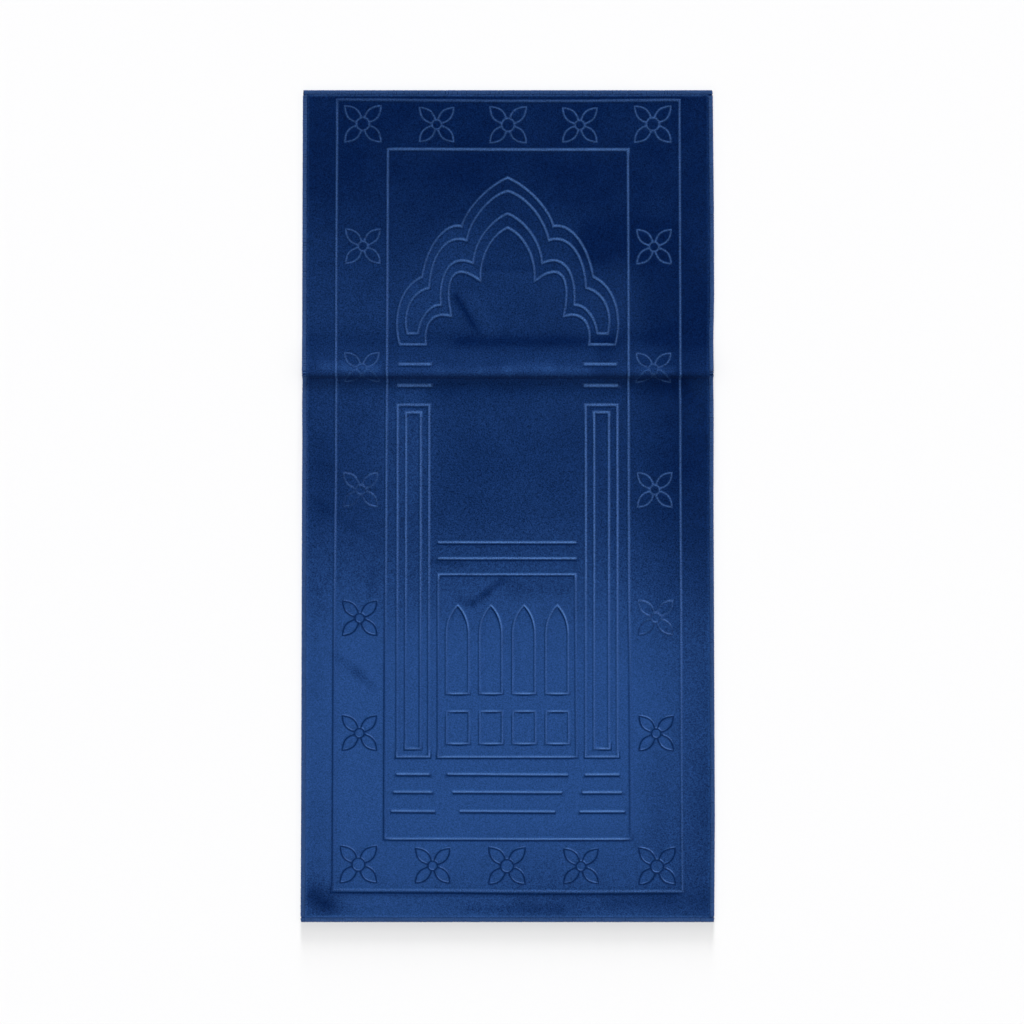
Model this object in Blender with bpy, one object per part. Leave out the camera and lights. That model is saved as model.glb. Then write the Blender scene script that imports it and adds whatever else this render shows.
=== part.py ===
"""A prayer rug of embossed plush, lying flat, with the storage fold still standing across it.

The rug is designed flat, as it leaves the press, in millimetres: x runs to the right from the rug's
middle, and d runs down the cloth from its top edge. The flat design is then laid along the fold's
profile. The finished model is in metres, +Z up, with its long side along Y and the arch towards +Y,
and its origin under the middle of its box, on the floor.
"""

import math

import bpy
import numpy as np
from mathutils import Vector, geometry

MM = 0.001

# The cloth, in millimetres
RUG_WIDTH = 600.0
CUT_LENGTH = 1222.0
CLOTH_THICK = 4.2
GAP = 0.3

# The embossed lines: soft ridges of pressed-up pile
LINE_HALF_WIDTH = 2.2
LINE_HEIGHT = 1.2
MITRE_LIMIT = 0.4
FOOT_CLEARANCE = 0.97

# The overlocked edge: thread wrapped round the pressed margin of the cloth
EDGE_WIDTH = 7.0
EDGE_THICK = 4.8
THREAD_THICK = 1.1
CORNER_ROUND, CORNER_STEPS = 2.0, 2
EDGE_SECTION = (
    (EDGE_WIDTH, 0.0),
    (1.2, 0.0),
    (0.35, 0.5),
    (0.0, 1.5),
    (0.0, 3.2),
    (0.5, 4.2),
    (1.8, EDGE_THICK),
    (5.4, EDGE_THICK),
    (EDGE_WIDTH, 4.3),
)
SLOT_INSET, SLOT_BOTTOM, SLOT_TOP = 1.3, THREAD_THICK, EDGE_THICK - THREAD_THICK
SLOT_OVERRUN = 1.0
MARGIN_INSET, MARGIN_BOTTOM, MARGIN_TOP = SLOT_INSET + GAP, SLOT_BOTTOM + GAP, SLOT_TOP - GAP

# How the cloth's faces change from its rim inwards: the plush swells beside the seam
RIM_COLUMNS = ("inset", "top", "bottom")
RIM_ROWS = (
    (MARGIN_INSET, MARGIN_TOP, MARGIN_BOTTOM),
    (EDGE_WIDTH + 0.5, MARGIN_TOP, MARGIN_BOTTOM),
    (EDGE_WIDTH + 1.5, 4.3, 0.0),
    (EDGE_WIDTH + 3.0, 4.7, 0.0),
    (EDGE_WIDTH + 5.5, CLOTH_THICK, 0.0),
)

# The fold, from the arch side down: each stretch bends evenly to its closing slope, in degrees
FOLD_START = 350.0
STEEP_SIDE = "steep side"
FOLD_COLUMNS = ("stretch", "length", "slope", "steps")
FOLD_ROWS = (
    ("foot of the rise", 26.0, 12.0, 2),
    ("rise", 40.0, 24.0, 2),
    ("crest", 7.3, -76.0, 5),
    (STEEP_SIDE, None, -76.0, 1),
    ("lower bend", 6.5, -14.0, 4),
    ("tail", 26.0, 0.0, 2),
)

# How far the long edges stray from straight, outwards, in millimetres down the cloth
SIDE_COLUMNS = ("down", "left", "right")
SIDE_ROWS = (
    (0.0, 0.0, 0.0),
    (170.0, 0.2, 1.2),
    (300.0, 0.3, 1.4),
    (370.0, 0.2, 0.0),
    (450.0, 0.3, 0.4),
    (520.0, -0.3, 0.2),
    (600.0, 0.0, -0.2),
    (800.0, 0.0, 0.2),
    (1070.0, 0.2, 0.7),
    (CUT_LENGTH, 0.6, -0.5),
)
SIDE_REACH = 45.0

# The cloth draws in towards the middle, by this share of x, where the fold stands
GATHER_MIDDLE, GATHER_REACH, GATHER = 420.0, 32.0, 0.004

# The outer and the inner frame, each a run of points clockwise from its top left corner. Neither is
# quite straight: the cloth has drawn them out by a millimetre or two.
FRAME_ROWS = (
    (
        (-249.4, 14.7), (-110.0, 16.0), (0.0, 16.9), (90.0, 17.0), (180.0, 16.1), (250.9, 15.4),
        (251.5, 300.0), (251.3, 566.0), (251.8, 741.0), (253.5, 1176.6),
        (100.0, 1177.0), (0.0, 1176.2), (-75.0, 1174.9), (-252.7, 1174.6),
        (-251.5, 741.0), (-250.1, 566.0), (-250.3, 300.0),
    ),
    (
        (-175.2, 87.5), (-75.0, 87.8), (42.0, 88.4), (175.4, 88.2),
        (176.1, 290.0), (176.1, 566.0), (176.5, 741.0), (178.0, 850.0), (179.2, 1101.7),
        (20.0, 1101.7), (-60.0, 1101.2), (-178.1, 1100.9),
    ),
)

# The scalloped arch: four lines of three scallops a side. Each row is one scallop of the right half,
# from the point before it to its own end, with the headings it leaves and arrives on, in degrees
# turned from straight across towards straight down.
ARCH_MIDDLE = -0.4
ARCH_APEX = {"outer": 129.4, "outer inset": 148.8, "inner inset": 182.0, "inner": 202.8}
ARCH_COLUMNS = ("line", "x", "down", "leaving", "arriving")
ARCH_ROWS = (
    ("outer", 66.8, 200.7, 24.0, 76.0),
    ("outer", 124.7, 274.7, -14.0, 81.0),
    ("outer", 156.9, 374.3, 22.0, 106.0),
    ("outer inset", 60.0, 221.1, 16.0, 79.0),
    ("outer inset", 114.4, 290.6, -20.0, 88.0),
    ("outer inset", 145.9, 357.5, 12.0, 105.0),
    ("inner inset", 50.2, 254.8, 22.0, 88.0),
    ("inner inset", 97.2, 315.6, -27.0, 95.0),
    ("inner inset", 130.9, 357.5, -4.0, 83.0),
    ("inner", 39.3, 281.1, 22.0, 95.0),
    ("inner", 81.5, 332.5, -40.0, 103.0),
    ("inner", 118.8, 374.3, -20.0, 99.0),
)
SCALLOP_STEPS = 6
# How far a round curve's handles reach towards the point where its two headings meet
ROUNDNESS = 0.55

# The pillars, and the framed panel of windows over squares
PILLAR_COLUMNS = ("inside", "outside", "top", "bottom")
PILLAR_ROWS = ((114.0, 160.0, 471.4, 982.4), (126.3, 147.6, 483.2, 971.5))
PANEL = ((-100.8, 718.4), (99.2, 718.4), (100.6, 982.6), (-100.4, 982.6))
WINDOW_PITCH, WINDOW_COUNT, WINDOW_HALF_WIDTH = 48.2, 4, 16.2
WINDOWS_MIDDLE = -0.4
WINDOW_APEX, WINDOW_SPRING, WINDOW_SILL = 762.3, 806.0, 890.6
WINDOW_TIP, WINDOW_ROUNDNESS = 46.0, 0.66
SQUARE_HALF_WIDTH, SQUARE_TOP, SQUARE_BOTTOM = 16.4, 916.4, 962.5
WINDOW_STEPS = 4

# The bars: capitals above the pillars, a pair over the panel, and bases at the foot
BAR_COLUMNS = ("left", "left_down", "right", "right_down")
BAR_ROWS = (
    (-158.0, 405.0, -113.4, 405.0),
    (112.3, 404.8, 157.1, 404.8),
    (-160.3, 442.5, -112.7, 442.5),
    (112.4, 442.7, 159.6, 442.7),
    (-100.6, 671.5, 99.0, 671.7),
    (-100.6, 694.8, 99.0, 694.8),
    (-160.7, 1007.1, -114.6, 1007.3),
    (-86.9, 1007.8, 86.3, 1008.8),
    (112.8, 1008.4, 161.0, 1008.2),
    (-164.8, 1032.7, -111.0, 1033.0),
    (-79.4, 1033.8, 77.8, 1034.4),
    (108.9, 1034.2, 164.6, 1034.1),
    (-168.2, 1060.4, -106.2, 1060.9),
    (-69.1, 1061.1, 67.8, 1062.0),
    (105.1, 1061.7, 168.6, 1061.5),
)

# The flowers of the border: five across each end, and five down each side between them
LARGE_FLOWER, SMALL_FLOWER = "large", "small"
FLOWER_SIZES = {LARGE_FLOWER: (26.5, 9.4), SMALL_FLOWER: (25.0, 6.9)}
FLOWER_COLUMNS = ("x", "down", "size")
FLOWER_ROWS = (
    (-211.9, 50.1, LARGE_FLOWER),
    (-104.1, 51.2, SMALL_FLOWER),
    (0.3, 51.6, LARGE_FLOWER),
    (105.1, 51.8, SMALL_FLOWER),
    (211.8, 50.6, LARGE_FLOWER),
    (-211.5, 229.4, SMALL_FLOWER),
    (213.4, 230.3, SMALL_FLOWER),
    (-212.7, 411.8, SMALL_FLOWER),
    (212.3, 412.6, SMALL_FLOWER),
    (-214.3, 595.3, SMALL_FLOWER),
    (213.8, 595.1, SMALL_FLOWER),
    (-215.1, 781.6, SMALL_FLOWER),
    (214.9, 781.3, SMALL_FLOWER),
    (-215.3, 948.2, SMALL_FLOWER),
    (215.5, 948.9, SMALL_FLOWER),
    (-216.5, 1138.3, LARGE_FLOWER),
    (-108.8, 1140.1, SMALL_FLOWER),
    (-1.1, 1140.5, LARGE_FLOWER),
    (106.1, 1140.9, SMALL_FLOWER),
    (216.5, 1141.0, LARGE_FLOWER),
)
PETAL_LEAVES, PETAL_ARRIVES = 58.0, 8.0
PETAL_STEPS = 4
RING_STEPS = 8

# Faces that meet at more than this angle, in degrees, keep a crisp corner between them
SHARP_ANGLE = 25.0

PLUSH_BLUE = (0.016, 0.052, 0.19)
THREAD_BLUE = (0.04, 0.075, 0.19)


def records(columns, rows):
    """The rows of a table, each as a dictionary of its named columns."""
    return [dict(zip(columns, row)) for row in rows]


# ---------------------------------------------------------------------------------------------------
# The flat design: every embossed line as a run of points (x, d)


def heading(degrees):
    """The unit step on a heading: 0 runs to the right, and 90 down the rug."""
    turn = math.radians(degrees)
    return Vector((math.cos(turn), math.sin(turn)))


def curve(start, end, leaving, arriving, steps, roundness=ROUNDNESS):
    """Points after start, up to end, on a round curve that leaves and arrives on these headings."""
    start, end = Vector(start), Vector(end)
    out, back = heading(leaving), heading(arriving)
    meeting = start + out * ((end - start).cross(back) / out.cross(back))
    points = geometry.interpolate_bezier(
        start, start.lerp(meeting, roundness), end.lerp(meeting, roundness), end, steps + 1
    )
    return [(p.x, p.y) for p in points[1:]]


def closed(points):
    """A run of points that returns to its first point."""
    return points + [points[0]]


def box(left, right, top, bottom):
    """A rectangle of four corners."""
    return closed([(left, top), (right, top), (right, bottom), (left, bottom)])


def frame_lines():
    """The outer and the inner frame."""
    return [closed(list(frame)) for frame in FRAME_ROWS]


def arch_side(line):
    """The right half of one line of the arch, from its apex to its foot."""
    points = [(0.0, ARCH_APEX[line])]
    for scallop in records(ARCH_COLUMNS, ARCH_ROWS):
        if scallop["line"] == line:
            end = (scallop["x"], scallop["down"])
            points += curve(
                points[-1], end, scallop["leaving"], scallop["arriving"], SCALLOP_STEPS
            )
    return points


def arch_band(over, under):
    """The closed band between two lines of the arch, joined at its feet."""
    right = arch_side(over) + arch_side(under)[::-1]
    left = [(-x, d) for x, d in right[-2:0:-1]]
    return closed([(x + ARCH_MIDDLE, d) for x, d in right + left])


def arch_lines():
    """The two scalloped bands."""
    return [arch_band("outer", "inner"), arch_band("outer inset", "inner inset")]


def window(middle):
    """One pointed window: two straight sides and a lancet head."""
    left, right = middle - WINDOW_HALF_WIDTH, middle + WINDOW_HALF_WIDTH
    spring, apex, other_spring = (left, WINDOW_SPRING), (middle, WINDOW_APEX), (right, WINDOW_SPRING)
    points = [(left, WINDOW_SILL), spring]
    points += curve(spring, apex, -90.0, -90.0 + WINDOW_TIP, WINDOW_STEPS, WINDOW_ROUNDNESS)
    points += curve(apex, other_spring, 90.0 - WINDOW_TIP, 90.0, WINDOW_STEPS, WINDOW_ROUNDNESS)
    return closed(points + [(right, WINDOW_SILL)])


def window_panel_lines():
    """The framed panel with its row of windows over a row of squares."""
    lines = [closed(list(PANEL))]
    for number in range(WINDOW_COUNT):
        middle = (number - (WINDOW_COUNT - 1) / 2.0) * WINDOW_PITCH
        lines.append(window(middle + WINDOWS_MIDDLE))
        lines.append(
            box(middle - SQUARE_HALF_WIDTH, middle + SQUARE_HALF_WIDTH, SQUARE_TOP, SQUARE_BOTTOM)
        )
    return lines


def pillar_lines():
    """The pillar on each side, a tall box inside a tall box."""
    lines = []
    for pillar in records(PILLAR_COLUMNS, PILLAR_ROWS):
        for side in (-1, 1):
            near, far = side * pillar["inside"], side * pillar["outside"]
            lines.append(box(min(near, far), max(near, far), pillar["top"], pillar["bottom"]))
    return lines


def bar_lines():
    """The capitals, bars and bases, each one straight dash."""
    return [
        [(bar["left"], bar["left_down"]), (bar["right"], bar["right_down"])]
        for bar in records(BAR_COLUMNS, BAR_ROWS)
    ]


def flower_lines(x, d, size):
    """Four pointed petals set crosswise on a ring."""
    reach, ring = FLOWER_SIZES[size]
    lines = [
        closed(
            [
                (
                    x + ring * math.cos(math.tau * step / RING_STEPS),
                    d + ring * math.sin(math.tau * step / RING_STEPS),
                )
                for step in range(RING_STEPS)
            ]
        )
    ]
    side = [(0.0, ring)]
    side += curve((0.0, ring), (reach, reach), PETAL_LEAVES, PETAL_ARRIVES, PETAL_STEPS)
    petal = side + [(b, a) for a, b in side[-2::-1]]
    for across in (-1, 1):
        for down in (-1, 1):
            lines.append([(x + across * a, d + down * b) for a, b in petal])
    return lines


def all_flower_lines():
    """Every flower of the border."""
    lines = []
    for row in records(FLOWER_COLUMNS, FLOWER_ROWS):
        lines += flower_lines(row["x"], row["down"], row["size"])
    return lines


def embossed_lines():
    """Every embossed line of the rug."""
    return (
        frame_lines()
        + arch_lines()
        + window_panel_lines()
        + pillar_lines()
        + bar_lines()
        + all_flower_lines()
    )


# ---------------------------------------------------------------------------------------------------
# The fold: where a point of the cloth lies


def stretch_rise(length, before, after):
    """How far an evenly bending stretch climbs."""
    a, b = math.radians(before), math.radians(after)
    if a == b:
        return length * math.sin(a)
    return length * (math.cos(a) - math.cos(b)) / (b - a)


def fold_stretches():
    """The fold's rows, with the steep side just long enough to bring the cloth back to the floor."""
    rows = records(FOLD_COLUMNS, FOLD_ROWS)
    slope, rise = 0.0, 0.0
    for row in rows:
        row["before"] = slope
        slope = row["slope"]
        if row["length"] is not None:
            rise += stretch_rise(row["length"], row["before"], slope)
    for row in rows:
        if row["stretch"] == STEEP_SIDE:
            row["length"] = -rise / math.sin(math.radians(row["slope"]))
    return rows


def fold_stations():
    """The fold's places down the cloth: (d, distance along the floor, height, slope in radians)."""
    d, along, height = FOLD_START, FOLD_START, 0.0
    stations = [(d, along, height, 0.0)]
    for row in fold_stretches():
        bend = math.radians(row["slope"] - row["before"]) / row["steps"]
        slope = math.radians(row["before"])
        step = row["length"] / row["steps"]
        for _ in range(row["steps"]):
            middle = slope + bend / 2.0
            chord = step if bend == 0.0 else step * math.sin(bend / 2.0) / (bend / 2.0)
            along += chord * math.cos(middle)
            height += chord * math.sin(middle)
            slope += bend
            d += step
            stations.append((d, along, height, slope))
    return stations


STATIONS = fold_stations()
STATION_D = [station[0] for station in STATIONS]
FLOOR_LENGTH = CUT_LENGTH - (STATIONS[-1][0] - STATIONS[-1][1])
SIDE_SWAY = records(SIDE_COLUMNS, SIDE_ROWS)
MIDDLE_X = (max(r["right"] for r in SIDE_SWAY) - max(r["left"] for r in SIDE_SWAY)) / 2.0


def sway(x, d):
    """How far the point strays sideways: the long edges are not quite straight."""
    side, column = (-1, "left") if x < 0 else (1, "right")
    out = np.interp(d, [r["down"] for r in SIDE_SWAY], [r[column] for r in SIDE_SWAY])
    inset = RUG_WIDTH / 2.0 - abs(x)
    gather = GATHER * math.exp(-(((d - GATHER_MIDDLE) / GATHER_REACH) ** 2))
    return side * float(out) * max(0.0, 1.0 - inset / SIDE_REACH) - gather * x


def place(x, d, height):
    """The world point, in metres, of cloth point (x, d) at this height over the cloth's underside."""
    if d <= STATION_D[0]:
        along, lift, slope = d, 0.0, 0.0
    else:
        along, lift, slope = (
            float(np.interp(d, STATION_D, [station[k] for station in STATIONS])) for k in (1, 2, 3)
        )
        along += max(0.0, d - STATION_D[-1])
    over = height - CLOTH_THICK / 2.0
    return (
        (x + sway(x, d) - MIDDLE_X) * MM,
        (FLOOR_LENGTH / 2.0 - along + over * math.sin(slope)) * MM,
        (CLOTH_THICK / 2.0 + lift + over * math.cos(slope)) * MM,
    )


# ---------------------------------------------------------------------------------------------------
# The panel: the flat design made into triangles, raised along its lines, and laid on the fold


def line_distance(points, starts, ends):
    """Each point's distance to the nearest of the straight pieces."""
    points = np.asarray(points, dtype=float)
    nearest = np.full(len(points), np.inf)
    for start, end in zip(np.asarray(starts), np.asarray(ends)):
        run = end - start
        share = np.clip((points - start) @ run / (run @ run), 0.0, 1.0)
        away = np.hypot(*(points - start - share[:, None] * run).T)
        nearest = np.minimum(nearest, away)
    return nearest


def feet(line, side):
    """The line's foot on one side: one point for each of its points, mitred at its corners."""
    is_closed = line[0] == line[-1]
    spots = [Vector(p) for p in line]
    result = []
    for index, spot in enumerate(spots):
        before = spots[index - 1] if index else (spots[-2] if is_closed else None)
        after = spots[index + 1] if index + 1 < len(spots) else (spots[1] if is_closed else None)
        ways = []
        if before is not None:
            ways.append((spot - before).normalized())
        if after is not None:
            ways.append((after - spot).normalized())
        way = (ways[0] + ways[-1]).normalized()
        normal = Vector((-way.y, way.x))
        reach = LINE_HALF_WIDTH / max(MITRE_LIMIT, way.dot(ways[0]))
        foot = spot + side * reach * normal
        result.append((foot.x, foot.y))
    return result


def line_tips(line):
    """The points just past a dash's two ends, where its ridge comes down."""
    if line[0] == line[-1]:
        return []
    tips = []
    for spot, inward in ((line[0], line[1]), (line[-1], line[-2])):
        way = (Vector(spot) - Vector(inward)).normalized()
        tip = Vector(spot) + LINE_HALF_WIDTH * way
        tips.append((tip.x, tip.y))
    return tips


class FlatNet:
    """Points and the lines between them, in the flat cloth."""

    def __init__(self):
        self.points = []
        self.index = {}
        self.edges = set()

    def point(self, spot):
        """The number of this point, which joins the net if it is new."""
        place_name = (round(spot[0], 2), round(spot[1], 2))
        if place_name not in self.index:
            self.index[place_name] = len(self.points)
            self.points.append(spot)
        return self.index[place_name]

    def run(self, line):
        """Adds a run of points and the straight edges between them."""
        numbers = [self.point(spot) for spot in line]
        for a, b in zip(numbers, numbers[1:]):
            if a != b:
                self.edges.add((min(a, b), max(a, b)))

    def triangles(self):
        """The net's triangles: their points, and the corners of each, counter-clockwise in (x, d)."""
        points, _, faces, *_ = geometry.delaunay_2d_cdt(
            [Vector(p) for p in self.points], sorted(self.edges), [], 0, 0.01, False
        )
        return [(p.x, p.y) for p in points], [tuple(face) for face in faces]


RIM = records(RIM_COLUMNS, RIM_ROWS)


def rim_net():
    """The rim's loops and the fold's cross lines, which both faces of the cloth share."""
    net = FlatNet()
    side_stops = sorted({r["down"] for r in SIDE_SWAY if 0.0 < r["down"] < CUT_LENGTH} | set(STATION_D))
    for row in RIM:
        inset = row["inset"]
        left, right = inset - RUG_WIDTH / 2.0, RUG_WIDTH / 2.0 - inset
        top, bottom = inset, CUT_LENGTH - inset
        down = [top] + side_stops + [bottom]
        net.run([(left, d) for d in down] + [(right, d) for d in reversed(down)] + [(left, top)])
    half = RUG_WIDTH / 2.0 - MARGIN_INSET
    for d in STATION_D:
        net.run([(-half, d), (half, d)])
    return net


def rim_height(x, d, face):
    """The height of the cloth's top or bottom face here, before the embossed lines."""
    inset = min(RUG_WIDTH / 2.0 - abs(x), d, CUT_LENGTH - d)
    return float(np.interp(inset, [row["inset"] for row in RIM], [row[face] for row in RIM]))


def top_face():
    """The embossed face: flat points, their heights, and triangles."""
    net = rim_net()
    lines = embossed_lines()
    for line in lines:
        net.run(line)
    starts = [a for line in lines for a in line[:-1]]
    ends = [b for line in lines for b in line[1:]]
    clear = LINE_HALF_WIDTH * FOOT_CLEARANCE
    for line in lines:
        sides = [feet(line, 1), feet(line, -1), *([tip] for tip in line_tips(line))]
        for side in sides:
            away = line_distance(side, starts, ends)
            for index, spot in enumerate(side):
                if away[index] > clear:
                    net.point(spot)
                    if index and away[index - 1] > clear:
                        net.run([side[index - 1], spot])
    points, faces = net.triangles()
    away = line_distance(points, starts, ends)
    raised = LINE_HEIGHT * np.clip(1.0 - away / LINE_HALF_WIDTH, 0.0, 1.0)
    heights = [rim_height(x, d, "top") + float(up) for (x, d), up in zip(points, raised)]
    return points, heights, faces


def bottom_face():
    """The plain face: flat points, their heights, and triangles."""
    points, faces = rim_net().triangles()
    return points, [rim_height(x, d, "bottom") for x, d in points], faces


def boundary(faces):
    """The directed edges that only one triangle uses."""
    sides = {(a, b) for face in faces for a, b in zip(face, face[1:] + face[:1])}
    return [(a, b) for a, b in sides if (b, a) not in sides]


def rim_name(spot):
    """A name that the same rim point has in both faces."""
    return (round(spot[0], 1), round(spot[1], 1))


def mesh_object(name, points, faces, material):
    """A smooth-shaded object with crisp corners."""
    mesh = bpy.data.meshes.new(name)
    mesh.from_pydata(points, [], faces)
    mesh.validate()
    mesh.shade_smooth()
    mesh.set_sharp_from_angle(angle=math.radians(SHARP_ANGLE))
    mesh.materials.append(material)
    obj = bpy.data.objects.new(name, mesh)
    bpy.context.scene.collection.objects.link(obj)
    return obj


def build_panel(material):
    """The embossed cloth, one closed solid."""
    top_points, top_heights, top_faces = top_face()
    low_points, low_heights, low_faces = bottom_face()
    points = [place(x, d, h) for (x, d), h in zip(top_points, top_heights)]
    points += [place(x, d, h) for (x, d), h in zip(low_points, low_heights)]
    shift = len(top_points)
    faces = [face[::-1] for face in top_faces]
    faces += [tuple(shift + corner for corner in face) for face in low_faces]
    below = {rim_name(low_points[a]): shift + a for edge in boundary(low_faces) for a in edge}
    for a, b in boundary(top_faces):
        low_a, low_b = below[rim_name(top_points[a])], below[rim_name(top_points[b])]
        faces.append((a, b, low_b))
        faces.append((a, low_b, low_a))
    return mesh_object("rug_panel", points, faces, material)


# ---------------------------------------------------------------------------------------------------
# The overlocked edge


def slotted_section():
    """The edge's section, (inset from the rug's outline, height), with the slot for the margin."""
    return EDGE_SECTION + (
        (EDGE_WIDTH, SLOT_TOP),
        (SLOT_INSET, SLOT_TOP),
        (SLOT_INSET, SLOT_BOTTOM),
        (EDGE_WIDTH, SLOT_BOTTOM),
    )


def sweep(rings):
    """Faces between equal rings of points, closed at both ends."""
    count = len(rings[0])
    faces = []
    for ring in range(len(rings) - 1):
        first, second = ring * count, (ring + 1) * count
        for a in range(count):
            b = (a + 1) % count
            faces.append((first + a, first + b, second + b, second + a))
    faces.append(tuple(reversed(range(count))))
    faces.append(tuple(range((len(rings) - 1) * count, len(rings) * count)))
    return [point for ring in rings for point in ring], faces


def build_side_edge(name, side, material):
    """One long side's run of overlock, between the two end runs."""
    first, last = EDGE_WIDTH + GAP, CUT_LENGTH - EDGE_WIDTH - GAP
    middle = {r["down"] for r in SIDE_SWAY} | set(STATION_D)
    stops = [first] + sorted(d for d in middle if first < d < last) + [last]
    if side < 0:
        stops.reverse()
    section = slotted_section()
    rings = [
        [place(side * (RUG_WIDTH / 2.0 - inset), d, height) for inset, height in section]
        for d in stops
    ]
    points, faces = sweep(rings)
    return mesh_object(name, points, faces, material)


def corner_stops():
    """A rounded corner's steps: (distance in from the side, how far the outline draws back)."""
    turns = [math.pi / 2.0 * step / CORNER_STEPS for step in range(CORNER_STEPS + 1)]
    return [(CORNER_ROUND * (1.0 - math.cos(t)), CORNER_ROUND * (1.0 - math.sin(t))) for t in turns]


def build_end_edge(name, end, material):
    """One end's run of overlock, over the whole width, with rounded corners and a slot."""
    half = RUG_WIDTH / 2.0
    corner = corner_stops()
    stops = [(x - half, back) for x, back in corner] + [(half - x, back) for x, back in corner[::-1]]
    across = [SLOT_INSET - half, half - SLOT_INSET]
    if end < 0:
        stops.reverse()
        across.reverse()

    def down(inset):
        return inset if end > 0 else CUT_LENGTH - inset

    rings = [
        [
            place(x, down(inset + back * (1.0 - inset / EDGE_WIDTH)), height)
            for inset, height in EDGE_SECTION
        ]
        for x, back in stops
    ]
    points, faces = sweep(rings)
    run = mesh_object(name, points, faces, material)

    section = (
        (EDGE_WIDTH + SLOT_OVERRUN, SLOT_BOTTOM),
        (SLOT_INSET, SLOT_BOTTOM),
        (SLOT_INSET, SLOT_TOP),
        (EDGE_WIDTH + SLOT_OVERRUN, SLOT_TOP),
    )
    rings = [[place(x, down(inset), height) for inset, height in section] for x in across]
    points, faces = sweep(rings)
    cutter = mesh_object(name + "_slot", points, faces, material)
    cutter.hide_render = True
    cutter.display_type = "WIRE"
    cut = run.modifiers.new("slot", "BOOLEAN")
    cut.operation = "DIFFERENCE"
    cut.object = cutter
    return run


def fabric(name, colour, roughness):
    """A cloth material: no metal, mostly rough."""
    material = bpy.data.materials.new(name)
    material.use_nodes = True
    shader = material.node_tree.nodes["Principled BSDF"]
    shader.inputs["Base Color"].default_value = (*colour, 1.0)
    shader.inputs["Roughness"].default_value = roughness
    shader.inputs["Metallic"].default_value = 0.0
    return material


def build_rug():
    """The whole rug."""
    for obj in list(bpy.data.objects):
        bpy.data.objects.remove(obj)
    plush = fabric("plush", PLUSH_BLUE, 0.85)
    thread = fabric("overlock_thread", THREAD_BLUE, 0.7)
    build_panel(plush)
    build_side_edge("edge_left", -1, thread)
    build_side_edge("edge_right", 1, thread)
    build_end_edge("edge_top", 1, thread)
    build_end_edge("edge_bottom", -1, thread)


build_rug()
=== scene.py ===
# %% [markdown]
# # An embossed plush prayer rug
#
# This notebook dresses the bare solids of a prayer rug as the real thing. The rug is one piece of
# short, dense plush. A hot plate presses a pattern into it: thin lines that still stand, each between
# two pressed-down valleys. Thread is wrapped round and round its rim, which is called overlocking. It
# was stored folded, so one fold still stands across it, and its pile shows where it was brushed.
#
# Lengths on the cloth are in millimetres: x runs to the right from the rug's middle, and d runs down
# the cloth from the arch's end. The finished pieces are in metres, as the solids are.

# %% Load the solids
import math

import bpy
import numpy as np
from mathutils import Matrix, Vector, geometry, kdtree, noise


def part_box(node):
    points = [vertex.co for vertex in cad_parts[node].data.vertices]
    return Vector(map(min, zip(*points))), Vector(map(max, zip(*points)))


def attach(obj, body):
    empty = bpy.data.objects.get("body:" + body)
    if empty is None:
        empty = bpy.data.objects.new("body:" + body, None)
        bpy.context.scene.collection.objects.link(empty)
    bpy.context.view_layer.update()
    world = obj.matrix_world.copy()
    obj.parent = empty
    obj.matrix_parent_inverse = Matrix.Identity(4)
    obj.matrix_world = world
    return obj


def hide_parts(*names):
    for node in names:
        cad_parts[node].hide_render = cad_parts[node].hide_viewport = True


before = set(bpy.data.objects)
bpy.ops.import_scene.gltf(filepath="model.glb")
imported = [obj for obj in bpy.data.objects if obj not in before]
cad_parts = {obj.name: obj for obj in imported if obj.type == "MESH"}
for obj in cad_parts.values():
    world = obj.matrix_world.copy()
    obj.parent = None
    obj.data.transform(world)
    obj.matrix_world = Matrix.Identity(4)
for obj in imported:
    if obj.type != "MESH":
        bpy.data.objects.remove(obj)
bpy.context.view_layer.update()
print("solids:", ", ".join(sorted(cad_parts)))

# %% [markdown]
# ## The cloth and its fold
#
# The cloth lies flat, but where it was folded for storage it still climbs slowly to a crest and drops
# again in a few millimetres. Seen from the side that is a chain of bends, and each bend is a stretch of
# cloth whose slope changes evenly. A table of stretches is easier to read and to change than a list of
# points, so the profile is worked out from one. The steep side gets whatever length brings the cloth
# back down to the floor.

# %% Sizes of the cloth, and the stretches of its fold
MM = 0.001
WIDTH, CUT_LENGTH, THICK = 600.0, 1222.0, 4.2
HALF = WIDTH / 2.0
FOLD_START = 350.0
STEEP_SIDE = "steep side"
FOLD_COLUMNS = ("stretch", "length", "slope", "steps")
FOLD_ROWS = (
    ("foot of the rise", 26.0, 12.0, 5),
    ("rise", 40.0, 24.0, 8),
    ("crest", 7.3, -76.0, 14),
    (STEEP_SIDE, None, -76.0, 4),
    ("lower bend", 6.5, -14.0, 8),
    ("tail", 26.0, 0.0, 6),
)


def records(columns, rows):
    """The rows of a table, each as a dictionary of its named columns."""
    return [dict(zip(columns, row)) for row in rows]


def climb(length, before, after):
    """How far an evenly bending stretch of cloth climbs."""
    a, b = math.radians(before), math.radians(after)
    if a == b:
        return length * math.sin(a)
    return length * (math.cos(a) - math.cos(b)) / (b - a)


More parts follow.
